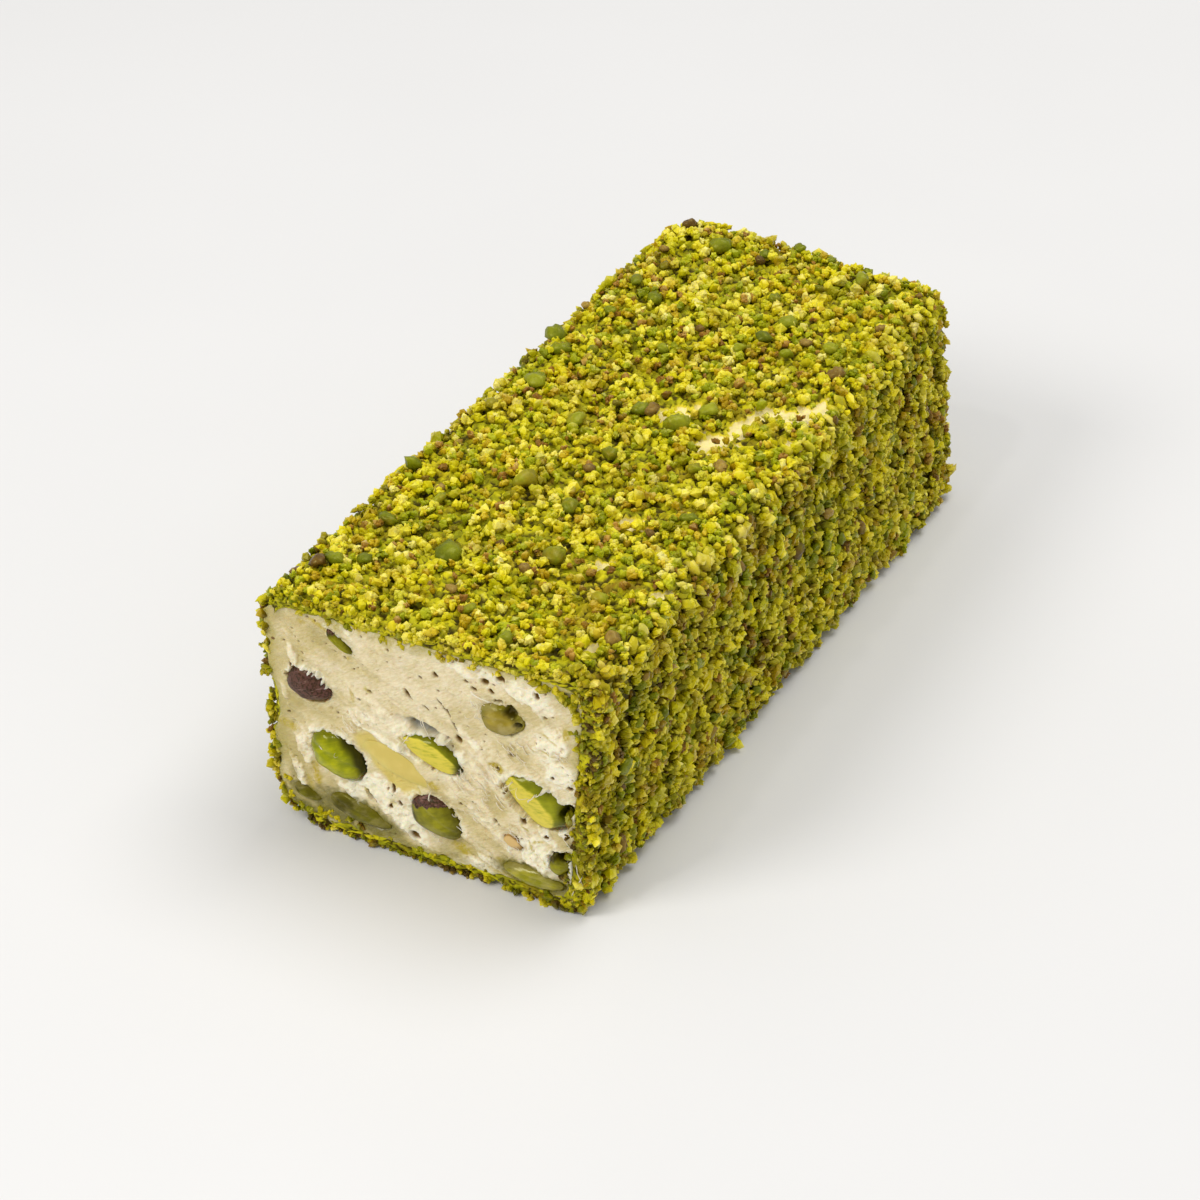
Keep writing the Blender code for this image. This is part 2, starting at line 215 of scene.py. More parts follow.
# Patches: pixel across and down, half length and half height in millimetres, turn in degrees, strength.
# Foam is opaque white where the nougat tore, web is drawn into fibres, film is thin, smooth and clearer.
FOAM = (
    (352, 777, 3.4, 1.5, -38, 1.0), (385, 795, 3.6, 1.8, -40, 1.0), (410, 824, 3.0, 1.5, -42, 1.0),
    (350, 790, 2.4, 0.6, -35, 1.0), (541, 857, 3.4, 2.5, -40, 1.0), (548, 836, 1.8, 0.8, -40, 0.9),
    (553, 745, 2.2, 2.8, -60, 0.8), (560, 775, 1.9, 1.8, 0, 0.8), (389, 742, 4.6, 0.45, -18, 1.0),
    (440, 866, 3.4, 0.9, -20, 0.9), (480, 866, 2.8, 0.8, -20, 0.9), (505, 872, 2.8, 0.7, -20, 0.9),
    (322, 731, 1.4, 0.5, -15, 0.9), (345, 737, 1.2, 0.3, -30, 0.6), (520, 690, 3.4, 1.0, -20, 0.9),
    (540, 700, 2.2, 1.4, -30, 0.6), (480, 672, 3.4, 0.8, -18, 0.9), (455, 668, 3.0, 0.7, -18, 0.5),
    (330, 616, 2.6, 0.35, -32, 0.9), (345, 628, 1.8, 0.30, -40, 0.8), (395, 720, 4.0, 1.2, -20, 0.5),
    (360, 716, 2.6, 1.0, -10, 0.5), (300, 768, 0.7, 2.2, 25, 0.9), (305, 745, 0.8, 2.0, 20, 0.7),
    (560, 830, 1.6, 0.5, -30, 0.8), (470, 742, 1.8, 0.6, -40, 0.6), (459, 760, 0.8, 1.6, 0, 0.8),
    (293, 655, 0.6, 2.4, 15, 0.6), (285, 690, 0.5, 1.6, 10, 0.5), (575, 870, 0.8, 2.0, 0, 0.6),
)
WEB = (
    (488, 772, 3.8, 2.4, -45, 1.0), (465, 782, 2.6, 2.0, -40, 0.8), (515, 800, 2.6, 1.2, -50, 0.9),
    (478, 812, 5.0, 1.8, -38, 0.9), (500, 842, 3.2, 1.4, -40, 0.8), (530, 833, 2.4, 1.0, -40, 0.8),
    (480, 705, 2.6, 1.2, -30, 0.6), (395, 700, 7.0, 1.2, -25, 0.5), (330, 690, 6.0, 1.4, -25, 0.4),
    (520, 745, 3.4, 1.2, -30, 0.6), (430, 815, 1.8, 1.0, -40, 0.6), (405, 790, 2.2, 0.8, -30, 0.5),
    (300, 725, 1.6, 3.6, 20, 0.6), (440, 850, 4.0, 0.8, -25, 0.7), (555, 885, 3.0, 1.0, 0, 0.6),
)
FILM = (
    (290, 620, 3.6, 2.0, -15, 0.9), (328, 642, 5.0, 2.2, -25, 0.9), (352, 660, 3.6, 1.6, -25, 0.6),
    (284, 700, 3.6, 4.2, 10, 1.0), (318, 708, 4.2, 2.0, -25, 0.6), (342, 700, 3.4, 1.6, -20, 0.4),
    (290, 745, 2.8, 4.4, 20, 1.0), (300, 775, 4.0, 3.2, -30, 1.0), (292, 655, 3.0, 3.0, 10, 0.8),
    (350, 745, 2.0, 1.2, -30, 0.6), (435, 790, 2.0, 1.6, -30, 0.6), (536, 824, 2.4, 0.8, -30, 0.7),
    (448, 728, 2.6, 1.0, -30, 0.4), (470, 726, 3.0, 1.3, -20, 0.5), (500, 742, 3.6, 1.2, -20, 0.6),
    (452, 752, 1.8, 1.4, -30, 0.5), (495, 806, 2.4, 1.4, -50, 0.6), (475, 826, 3.8, 1.2, -35, 0.7),
    (500, 848, 2.6, 0.9, -35, 0.7), (565, 835, 1.6, 2.4, -60, 0.9), (558, 886, 3.6, 1.2, 0, 0.9),
    (318, 755, 1.2, 2.0, 20, 0.5), (340, 808, 5.0, 1.6, -20, 0.9), (400, 838, 3.6, 0.9, -22, 0.8),
    (465, 848, 2.6, 1.3, -20, 0.8), (530, 712, 3.0, 1.2, -30, 0.5), (560, 742, 1.6, 2.4, -10, 0.5),
    (430, 800, 2.4, 0.8, -30, 0.4), (520, 884, 4.0, 0.8, -18, 0.7), (380, 712, 2.6, 0.8, -20, 0.4),
    (495, 705, 3.0, 1.2, -25, 0.4),
)
YELLOW_STAINS = (
    (288, 723, 1.6, 0.6, -10, 0.9), (318, 772, 0.5, 1.6, 12, 1.0), (317, 624, 1.5, 0.35, -20, 0.9),
    (463, 849, 1.4, 0.80, -10, 1.0), (498, 768, 1.1, 0.55, -20, 1.0), (441, 660, 0.8, 0.4, -40, 1.0),
    (278, 604, 0.35, 0.6, 20, 0.9), (434, 785, 0.9, 0.6, -30, 1.0), (358, 628, 0.6, 0.4, -20, 0.8),
    (534, 846, 1.0, 0.14, -60, 0.9), (545, 858, 0.9, 0.12, -50, 0.8), (527, 829, 0.8, 0.14, -40, 0.8),
    (369, 690, 0.6, 0.4, 0, 0.8), (484, 846, 1.1, 0.4, -20, 0.5), (352, 695, 0.3, 0.8, 10, 0.7),
    (505, 862, 1.4, 0.35, -20, 0.8), (564, 888, 2.2, 0.5, -10, 0.7), (422, 780, 0.5, 0.3, -30, 0.8),
    (539, 841, 0.8, 0.16, 20, 0.8), (300, 622, 0.6, 0.3, 0, 0.7), (347, 658, 0.5, 0.3, -20, 0.8),
    (550, 738, 1.4, 0.20, -20, 0.7), (548, 752, 1.2, 0.18, -10, 0.7), (567, 734, 0.5, 1.0, 0, 0.9),
    (404, 740, 0.6, 0.35, -40, 0.8), (515, 878, 1.6, 0.35, -20, 0.8), (311, 780, 0.5, 1.2, 20, 0.6),
    (340, 729, 0.8, 0.15, -20, 0.5), (369, 793, 0.9, 0.35, -50, 0.8), (394, 800, 0.6, 0.7, -60, 0.5),
)
# Film over something dark: the nuts at the left foot show through it for a few millimetres round them, and
# painted shade darkens it along the lower left and the foot of the cut.
FILM_SHADE_AND_VEIL = (
    (352, 814, 5.2, 1.2, -24, 0.95), (322, 798, 2.6, 1.0, -35, 0.85), (300, 788, 1.3, 0.9, -50, 0.9),
    (392, 832, 2.2, 0.9, -24, 0.8), (450, 852, 3.0, 0.8, -24, 0.40), (296, 772, 0.9, 1.5, 20, 0.5),
    (278, 745, 0.7, 3.0, 8, 0.35), (540, 893, 4.5, 0.7, -20, 0.4), (308, 806, 3.2, 1.2, -30, 1.0),
    (330, 800, 2.2, 0.9, -35, 0.9), (340, 818, 4.0, 0.9, -24, 1.0),
)
# Nougat over the face of a nut: pixel across and down, half length, half height, turn, how far it stands out.
SCRAPS = (
    (319, 674, 0.40, 0.12, -50, 0.75), (327, 686, 0.32, 0.13, -20, 0.6), (304, 667, 0.3, 0.12, -20, 0.8),
    (311, 671, 0.36, 0.11, -75, 0.95), (324, 681, 0.30, 0.12, -80, 0.8), (315, 673, 0.3, 0.1, -10, 0.9),
    (327, 741, 0.5, 0.22, -75, 1.5), (441, 737, 0.9, 0.28, -20, 1.1), (548, 787, 0.6, 0.14, 25, 1.8),
    (402, 745, 0.6, 0.25, -70, 1.0), (334, 744, 0.4, 0.2, -60, 1.4),
)
PALE_PATCH = (396, 768, 6.2, 2.5, -33)
# The fold at the middle of the cut, pressed in by the knife.
KNIFE_FOLD = (420, 728, 3.3, 0.95, -10)
FOLD_DEPTH = 1.0

# The knife's drag runs this way across the cut, and turns round this place.
GRAIN_TURN = math.radians(-32)
GRAIN_MIDDLE = (0.0, 17.0)
# How far each form of the cut's relief stands up or goes down.
BROAD_SWELL = 0.42
DRAG_SWELL = 0.22
DRAG_MARKS = 0.10
FINE_GRAIN = 0.055
DENTS = 0.16
STRANDS = 0.20
FINE_STRANDS = 0.11
STRANDS_SUNK = 0.08
FOAM_LEVEL = 0.06
TORN_FOAM = 0.26
SHREDDED_FOAM = 0.12
FOAM_GRAIN = 0.05
FILM_SUNK = 0.28
PALE_SUNK = 0.05
SEAT_DEPTH = 3.2
SOFT_SEAT_DEPTH = 0.5
LIP_HEIGHT = 0.26
RIM_FADE = 1.2
# Bubbles too small to place one by one: how many, half height, how much longer than high, and depth.
TINY_BUBBLES = 190
TINY_BUBBLE_SIZES = (0.09, 0.17)
TINY_BUBBLE_STRETCH = (1.0, 1.9)
TINY_BUBBLE_DEPTH = 0.22
# How far the nougat is smeared over the thin coat at the left of the cut, and over what width. Near its rim
# the cut's outline wanders.
SMEARED = 1.05
SMEAR_WIDTH = 2.2
WANDER_WIDTH = 1.8
# The grid of the cut, and how many stations of its outline run down the sides and round the back edge.
FACE_COLUMNS = 336
FACE_ROWS = 254
SIDE_START = 2.0
SIDE_STATIONS = 4
BACK_EDGE_STATIONS = 6
# Random lattices repeat after this many cells.
LATTICE = 256


def ripple(across, up, pitch, seed):
    """Smooth random heights from -1 to 1: pitch in millimetres, and seed.

    Each corner of a square lattice has a random height, and between corners the four are blended by
    3t^2 - 2t^3 both ways.
    """
    heights = np.random.default_rng(seed).uniform(-1, 1, (LATTICE, LATTICE))
    column = np.floor(across / pitch).astype(int)
    row = np.floor(up / pitch).astype(int)
    right = across / pitch - column
    high = up / pitch - row
    right = right * right * (3 - 2 * right)
    high = high * high * (3 - 2 * high)

    def line(level):
        near = heights[level % LATTICE, column % LATTICE]
        far = heights[level % LATTICE, (column + 1) % LATTICE]
        return near * (1 - right) + far * right

    return line(row) * (1 - high) + line(row + 1) * high


def smooth(value, low, high):
    """0 below low, 1 above high, and 3t^2 - 2t^3 between."""
    share = np.clip((value - low) / (high - low), 0, 1)
    return share * share * (3 - 2 * share)


def turned(across, up, middle, turn):
    """Distances from a middle along an axis turned by this many degrees, and square to it."""
    angle = math.radians(turn)
    right = across - middle[0]
    high = up - middle[1]
    along = right * math.cos(angle) + high * math.sin(angle)
    square = high * math.cos(angle) - right * math.sin(angle)
    return along, square


def oval(across, up, middle, half_length, half_height, turn):
    """0 at the middle of a turned oval, 1 on its edge: the root of (a / length)^2 + (b / height)^2."""
    along, square = turned(across, up, middle, turn)
    return np.hypot(along / half_length, square / half_height)


def patches(across, up, rows, softness, ragged):
    """The strongest of several soft ovals at each point, their edges shifted by ragged heights."""
    strongest = np.zeros_like(across)
    for *pixel, half_length, half_height, turn, strength in rows:
        edge = oval(across, up, on_cut(pixel), half_length, half_height, turn) + ragged
        strongest = np.maximum(strongest, strength * smooth(-edge, -1 - softness, -1 + softness))
    return strongest


def rounded(across, up):
    """Moves a box's points into its rounded outline.

    In each corner's square, of side r, a point p, q in shares of r goes to p sqrt(1 - q^2 / 2) and
    q sqrt(1 - p^2 / 2), which takes the square to a quarter of a disc.
    """
    middle = NOUGAT_MIDDLE
    half = np.array([(NOUGAT_RIGHT - NOUGAT_LEFT) / 2, (NOUGAT_TOP - NOUGAT_FOOT) / 2])
    right = np.abs(across - middle[0])
    high = np.abs(up - middle[1])
    into_right = np.clip((right - half[0]) / NOUGAT_ROUNDING + 1, 0, 1)
    into_high = np.clip((high - half[1]) / NOUGAT_ROUNDING + 1, 0, 1)
    right = right - NOUGAT_ROUNDING * into_right * (1 - np.sqrt(1 - into_high**2 / 2))
    high = high - NOUGAT_ROUNDING * into_high * (1 - np.sqrt(1 - into_right**2 / 2))
    return middle[0] + np.sign(across - middle[0]) * right, middle[1] + np.sign(up - middle[1]) * high


def dragged_nougat(across, up, fine):
    """The nougat as the knife dragged it: its height, and where it is foam, web, film, stained or folded.

    Broad swells, drag marks and ridged fibres, 1 - |ripple|, are summed. Foam stands up with ragged edges,
    film lies low, and the knife's fold is pressed in.
    """
    drag, square = turned(across, up, GRAIN_MIDDLE, math.degrees(GRAIN_TURN))
    square = square + 0.5 * ripple(drag, square, 3.0, 10)
    foam_edge = 0.40 * ripple(across, up, 1.3, 13) + 0.30 * fine
    foam = patches(across, up, FOAM, 0.30, foam_edge)
    web = patches(across, up, WEB, 0.45, 0.25 * ripple(across, up, 1.6, 14))
    film_edge = 0.45 * ripple(across, up, 2.4, 21) + 0.25 * ripple(drag, square * 2.5, 1.6, 31)
    film = patches(across, up, FILM, 0.85, film_edge) * (1 - 0.85 * foam)
    stain = patches(across, up, YELLOW_STAINS, 0.45, 0.30 * fine)
    strands = 1 - np.abs(ripple(drag * 0.28, square, 0.62, 15)) * 1.6
    fine_strands = 1 - np.abs(ripple(drag * 0.25, square, 0.33, 16)) * 1.6
    marks = ripple(drag, square * 4, 2.6, 22)
    dents = ripple(across, up, 1.05, 34) * (0.5 + 0.5 * ripple(across, up, 4.0, 35))
    torn = smooth(ripple(drag * 0.6, square, 0.85, 19) + 0.4 * fine, -0.14, 0.14)
    shreds = smooth(ripple(drag * 0.5, square, 0.42, 29) + 0.3 * fine, -0.2, 0.2)
    height = BROAD_SWELL * ripple(across, up, 6.5, 17) + DRAG_SWELL * ripple(drag, square * 1.8, 3.0, 18)
    height += DRAG_MARKS * marks * (1 - 0.6 * film) + FINE_GRAIN * fine * (1 - 0.8 * film) + DENTS * dents
    height += web * (STRANDS * strands + FINE_STRANDS * fine_strands - STRANDS_SUNK)
    height += foam * (FOAM_LEVEL + TORN_FOAM * torn + SHREDDED_FOAM * shreds + FOAM_GRAIN * fine)
    height -= FILM_SUNK * film
    fold = oval(across, up, on_cut(KNIFE_FOLD[:2]), *KNIFE_FOLD[2:])
    fold = fold + 0.25 * ripple(across, up, 1.2, 23)
    height -= FOLD_DEPTH * smooth(-fold, -1.3, -0.3)
    shadow = smooth(-fold, -1.2, -0.3)
    covers = {"foam": foam * (1 - shadow), "web": web * np.clip(strands, 0, 1), "film": film, "stain": stain}
    covers |= {"shadow": shadow, "torn": torn * 0.6 + shreds * 0.4}
    return height, covers


def dig_bubbles(across, up, fine, height):
    """Digs each bubble by exp(-e^4) of its oval with a low rim round it, and gives each place its painted
    shade.

    The tiny ones lie at random, and the dark holes have steep walls.
    """
    pit = np.zeros_like(across)
    for *pixel, half_length, half_height, turn in BUBBLES:
        edge = oval(across, up, on_cut(pixel), half_length, half_height, turn) + 0.20 * fine
        dip = np.exp(-(edge**4))
        rim = 0.10 * np.exp(-(((edge - 1.4) / 0.3) ** 2))
        height += rim - BUBBLE_DEPTH * dip * min(1.0, half_height / 0.3)
        pit = np.maximum(pit, dip)
    draw = np.random.default_rng(20)
    for _ in range(TINY_BUBBLES):
        middle = draw.uniform((NOUGAT_LEFT, NOUGAT_FOOT), (NOUGAT_RIGHT, NOUGAT_TOP))
        size = draw.uniform(*TINY_BUBBLE_SIZES)
        edge = oval(across, up, middle, size * draw.uniform(*TINY_BUBBLE_STRETCH), size, draw.uniform(-70, 0))
        dip = np.exp(-(edge**4))
        height -= TINY_BUBBLE_DEPTH * dip
        pit = np.maximum(pit, dip * draw.uniform(0.1, 0.7))
    for hole in DARK_HOLES:
        edge = oval(across, up, on_cut(hole[:2]), *hole[2:])
        height -= HOLE_DEPTH * smooth(-edge - 0.10 * fine, -1.1, -0.75)
        pit = np.maximum(pit, 0.9 * smooth(-edge, -1.1, -0.8))
    return height, pit


def seat_nuts(across, up, fine, height, covers):
    """Gives each nut its seat: a steep dip inside its ragged oval, with a lip of foam round it.

    A nut under film has no gap. The nougat sinks a little over it, and its dark colour shows through the film
    for some way round it, most of all where the film has holes.
    """
    foam = covers["foam"]
    veil = np.zeros_like(across)
    seat = np.zeros_like(across)
    for number, (middle, (half_length, half_height), turn, proud, _, film_share) in enumerate(NUTS.values()):
        if proud <= FLUSH:
            continue
        edge = oval(across, up, middle, half_length, half_height, turn)
        above = np.clip((up - middle[1]) / half_height, -1, 1)
        size = 0.5 * (half_length + half_height)
        ragged = (0.30 * ripple(across, up, 0.9, 40 + number) + 0.20 * fine) / size
        lip = np.exp(-(((edge + 2 * ragged - 1.14) / (0.22 / size + 0.04)) ** 2)) * (0.55 + 0.45 * above)
        lip = lip * (1 - covers["shadow"])
        edge = edge + ragged * (1.0 + 0.8 * above) + 0.10 * above
        soft = film_share >= SOFT_SEAT
        inside = smooth(-edge, -1.10, -0.70) if soft else smooth(-edge, -1.04, -0.95)
        if film_share > SOFT_SEAT:
            holes = 0.9 * ripple(across, up, 1.5, 60 + number) + 0.35 * fine + 0.25
            inside = inside * smooth(holes, film_share * 2 - 1.2, film_share * 2 - 0.7)
        if soft:
            height = height - SOFT_SEAT_DEPTH * inside
            around_it = smooth(-edge, -VEIL_REACH[film_share >= THICK_FILM], -0.9)
            veil = np.maximum(veil, np.maximum(inside, min(1.0, 2.4 * film_share) * around_it))
        else:
            height = height * (1 - inside) - SEAT_DEPTH * inside
            height += LIP_HEIGHT * lip * (1 - inside)
            foam = np.maximum(foam, 0.6 * lip)
            seat = np.maximum(seat, inside)
    # Painted shade on the film at the lower left and foot of the cut joins what shows of the nuts through it.
    veil = np.maximum(veil, patches(across, up, FILM_SHADE_AND_VEIL, 0.6, 0.35 * ripple(across, up, 1.4, 36)))
    covers |= {"foam": foam, "veil": veil, "seat": seat}
    return height


def lay_scraps(across, up, fine, height, covers):
    """Lays scraps of nougat over the nuts: inside each ragged oval the height is at least the scrap's own."""
    for *pixel, half_length, half_height, turn, stand in SCRAPS:
        edge = oval(across, up, on_cut(pixel), half_length, half_height, turn)
        scrap = smooth(-edge - 0.35 * fine - 0.3 * ripple(across, up, 0.6, 25), -1.1, -0.8)
        height = np.maximum(height, height * (1 - scrap) + (stand + 0.1 * fine) * scrap)
        covers["seat"] = covers["seat"] * (1 - scrap)
        covers["veil"] = covers["veil"] * (1 - scrap)
        covers["foam"] = np.maximum(covers["foam"], scrap)
    return height


def cut_relief(across, up):
    """How far the cut stands out at each point, in millimetres, and what each point is covered by.

    Bubbles are dug into the dragged nougat, which is smoothed over the pale nut. Then come the other nuts'
    seats and the scraps over them. It all fades to nothing at the border, which the oily crumbs stain.
    """
    fine = ripple(across, up, 0.5, 11) + 0.5 * ripple(across, up, 0.27, 12)
    height, covers = dragged_nougat(across, up, fine)
    height, covers["pit"] = dig_bubbles(across, up, fine, height)
    edge = oval(across, up, on_cut(PALE_PATCH[:2]), *PALE_PATCH[2:]) + 0.20 * ripple(across, up, 1.5, 24)
    pale = smooth(-edge, -1.16, -0.78)
    height = height * (1 - pale) - PALE_SUNK * pale
    height = seat_nuts(across, up, fine, height, covers)
    height = lay_scraps(across, up, fine, height, covers)
    covers["pale"] = pale * (1 - covers["foam"])
    covers["shadow"] = covers["shadow"] * (1 - covers["foam"])
    border = rounded_border(across, up)
    height = height * smooth(border, 0.0, RIM_FADE)
    border = np.minimum(border, 0.6 * (up - NOUGAT_FOOT))
    covers["oily"] = smooth(-border - 1.1 * ripple(across, up, 1.8, 28) - 0.3 * fine, -2.0, 0.6)
    return height, covers


def rounded_border(across, up):
    """Millimetres in from the straight sides of the pressed cut face, least of the four."""
    left = across - (NOUGAT_LEFT - 1.0)
    right = NOUGAT_RIGHT + 0.8 - across
    return np.minimum(np.minimum(left, right), np.minimum(up - NOUGAT_FOOT, NOUGAT_TOP + 0.6 - up))


def grid_faces(rows, columns, wrap):
    """The corners of each cell of a grid of points, numbered row by row.

    Wrap joins the last column to the first.
    """
    row, column = np.meshgrid(np.arange(rows - 1), np.arange(columns if wrap else columns - 1), indexing="ij")
    beside = (column + 1) % columns
    near = row * columns
    far = (row + 1) * columns
    return np.stack((near + column, near + beside, far + beside, far + column), -1).reshape(-1, 4)


def closed_faces(rings, sides):
    """The cells of a grid wrapped round, and the triangles at its two poles, which are numbered after it."""
    columns = np.arange(sides)
    beside = (columns + 1) % sides
    last = (rings - 1) * sides
    pole = np.full(sides, rings * sides)
    near = np.stack((pole, beside, columns), -1)
    far = np.stack((pole + 1, last + columns, last + beside), -1)
    return grid_faces(rings, sides, True), near, far


def make_piece(name, points, *face_groups, facets=False):
    """A mesh object at the origin from points in the bar's millimetres and its faces' corner numbers."""
    mesh = bpy.data.meshes.new(name)
    corners = np.concatenate([group.ravel() for group in face_groups])
    sizes = np.concatenate([np.full(len(group), group.shape[1]) for group in face_groups])
    starts = np.cumsum(sizes) - sizes
    mesh.vertices.add(len(points))
    mesh.vertices.foreach_set("co", ((points + BLOCK_MIDDLE) * MM).astype(np.float32).ravel())
    mesh.loops.add(len(corners))
    mesh.loops.foreach_set("vertex_index", corners.astype(np.int32))
    mesh.polygons.add(len(starts))
    mesh.polygons.foreach_set("loop_start", starts.astype(np.int32))
    mesh.update(calc_edges=True)
    mesh.validate()
    if facets:
        mesh.shade_flat()
    else:
        mesh.shade_smooth()
    piece = bpy.data.objects.new(name, mesh)
    bpy.context.scene.collection.objects.link(piece)
    return piece


def mark(piece, **values):
    """Numbers at the piece's points, which its finish reads by name."""
    for name, numbers in values.items():
        attribute = piece.data.attributes.new(name, "FLOAT", "POINT")
        attribute.data.foreach_set("value", np.asarray(numbers, np.float32).ravel())


class Wire:
    """An output socket in a material. Arithmetic on it adds Math nodes, and node() adds any other."""

    def __init__(self, tree, socket=None):
        self.tree = tree
        self.socket = socket

    def node(self, kind, settings, sockets, output=0):
        """A node of this type: its settings, a ramp's stops among them, then its sockets' values or links."""
        made = self.tree.nodes.new("ShaderNode" + kind)
        for name, value in settings.items():
            if name == "stops":
                ramp = made.color_ramp.elements
                while len(ramp) < len(value):
                    ramp.new(1.0)
                for stop, (position, colour) in zip(ramp, value):
                    stop.position = position
                    stop.color = (*colour, 1.0)
            else:
                setattr(made, name, value)
        for name, value in sockets.items():
            if isinstance(value, Wire):
                self.tree.links.new(value.socket, made.inputs[name])
            else:
                made.inputs[name].default_value = value
        return Wire(self.tree, made.outputs[output])

    def maths(self, operation, first, second):
        """One Math node."""
        return self.node("Math", {"operation": operation}, {0: first, 1: second})

    def __add__(self, other):
        return self.maths("ADD", self, other)

    __radd__ = __add__

    def __sub__(self, other):
        return self.maths("SUBTRACT", self, other)

    def __rsub__(self, other):
        return self.maths("SUBTRACT", other, self)

    def __mul__(self, other):
        return self.maths("MULTIPLY", self, other)

    __rmul__ = __mul__

    def between(self, low, high, start=0.0, end=1.0):
        """This value's smooth rise from start to end as it goes from low to high."""
        settings = {"interpolation_type": "SMOOTHSTEP"}
        limits = {"Value": self, "From Min": low, "From Max": high, "To Min": start, "To Max": end}
        return self.node("MapRange", settings, limits)

    def mixed(self, first, second):
        """The first colour where this value is 0, the second where it is 1."""
        colours = [c if isinstance(c, Wire) else (*c, 1.0) for c in (first, second)]
        return self.node("Mix", {"data_type": "RGBA"}, {0: self, 6: colours[0], 7: colours[1]}, 2)

    def reads(self, name):
        """The numbers that the piece's points carry under this name."""
        return self.node("Attribute", {"attribute_name": name}, {}, 2)

    def places(self, stretch=(1.0, 1.0, 1.0), turn=(0.0, 0.0, 0.0)):
        """Places on the piece in metres, turned and stretched for a pattern."""
        here = self.node("TexCoord", {}, {}, 3)
        turned_here = self.node("Mapping", {}, {"Vector": here, "Rotation": turn})
        return self.node("Mapping", {}, {"Vector": turned_here, "Scale": stretch})

    def cloud(self, size, detail=2.0, places=None, roughness=0.5):
        """Noise from 0 to 1 whose lumps are about this many millimetres across."""
        places = places or self.places()
        numbers = {"Vector": places, "Scale": 1 / (size * MM), "Detail": detail, "Roughness": roughness}
        return self.node("TexNoise", {}, numbers)

    def dragged(self, stretch):
        """Places stretched along the knife's drag."""
        return self.places((1.0, 1.0, stretch), (0.0, -GRAIN_TURN, 0.0))


def make_finish(name, constants, build):
    """A Principled material: constants on its own sockets, and what build(wire) returns linked to others."""
    material = bpy.data.materials.new(name)
    material.use_nodes = True
    tree = material.node_tree
    shader = tree.nodes["Principled BSDF"]
    for socket, value in constants.items():
        shader.inputs[socket].default_value = value
    for socket, wire in build(Wire(tree)).items():
        tree.links.new(wire.socket, shader.inputs[socket])
    return material


# The nougat's tints, from clear film to opaque foam.
CREAM_STOPS = (
    (0.26, (0.52, 0.42, 0.14)), (0.42, (0.68, 0.565, 0.275)), (0.56, (0.83, 0.72, 0.465)),
    (0.72, (0.97, 0.885, 0.66)),
)
FOLD_SHADOW = (0.26, 0.25, 0.20)
OIL_STAIN = (0.44, 0.36, 0.065)
NUT_STAIN = (0.50, 0.38, 0.012)
BROWN_SPECK = (0.42, 0.27, 0.05)
PAINTED_BUBBLE_SHADE = (0.20, 0.105, 0.01)
SEAT_SHADOW = (0.10, 0.08, 0.005)
# What shows of a nut through a film of nougat, also used as painted shade there, and the palest nut's buttery
# flesh.
VEIL_AND_SHADE = (0.19, 0.165, 0.01)
PALE_FLESH = ((0.68, 0.53, 0.12), (0.75, 0.60, 0.17))


def pale_flesh(wire):
    """The flesh of the palest nut, which the nougat over its edge is tinted by."""
    return wire.cloud(2.4, 2.0).between(0.35, 0.65).mixed(*PALE_FLESH)


def nougat_finish(wire):
    """Opaque white where it is torn to foam, clear and beige where it is film, with ragged borders between.

    How opaque it is comes from clouds and streaks along the drag, raised by foam and web and lowered by film.
    """
    cloud = wire.cloud(5.5, 3.0)
    streak = wire.cloud(3.0, 3.0, wire.dragged(2.6))
    mottle = wire.cloud(0.35, 3.0)
    torn = wire.reads("torn") * 0.14 - 0.07
    foam = wire.reads("foam")
    shred = wire.cloud(0.7, 4.0, wire.dragged(3.2), 0.65)
    opaque = cloud * 0.28 + streak * 0.22 + shred * 0.46
    opaque = opaque + foam * (torn + 0.27) + wire.reads("web") * 0.10 + 0.06
    opaque = opaque - wire.reads("film") * (0.17 + shred * 0.2)
    cream = wire.node("ValToRGB", {"stops": CREAM_STOPS}, {"Fac": opaque})
    cream = wire.reads("pale").mixed(cream, pale_flesh(wire))
    cream = wire.reads("shadow").mixed(cream, FOLD_SHADOW)
    cream = (wire.reads("oily") * (mottle + 0.3)).mixed(cream, OIL_STAIN)
    cream = (wire.reads("stain") * mottle.between(0.15, 0.6)).mixed(cream, NUT_STAIN)
    # Nuts seen through the film, and painted shade on the film at the foot of the cut.
    cream = (wire.reads("veil") * (mottle * 0.3 + 0.75)).between(0.0, 1.0).mixed(cream, VEIL_AND_SHADE)
    speck = wire.cloud(0.8, 2.0).between(0.70, 0.76) * (1.0 - wire.reads("film") * 0.6)
    cream = (speck * 0.55).mixed(cream, BROWN_SPECK)
    # Painted shade in the opened bubbles and holes.
    cream = wire.reads("pit").between(0.12, 0.65).mixed(cream, PAINTED_BUBBLE_SHADE)
    cream = wire.reads("seat").between(0.2, 0.8).mixed(cream, SEAT_SHADOW)
    roughness = 0.30 + foam * 0.25 - wire.reads("film") * 0.14 + mottle * 0.14
    fold = wire.cloud(1.3, 4.0, wire.dragged(2.8))
    relief = mottle * 0.4 + fold * 1.8 + shred * 0.8
    bump = wire.node("Bump", {}, {"Strength": 0.6, "Distance": 0.22 * MM, "Height": relief})
    sheen = wire.reads("film") * 0.8
    return {"Base Color": cream, "Roughness": roughness, "Coat Weight": sheen, "Normal": bump}


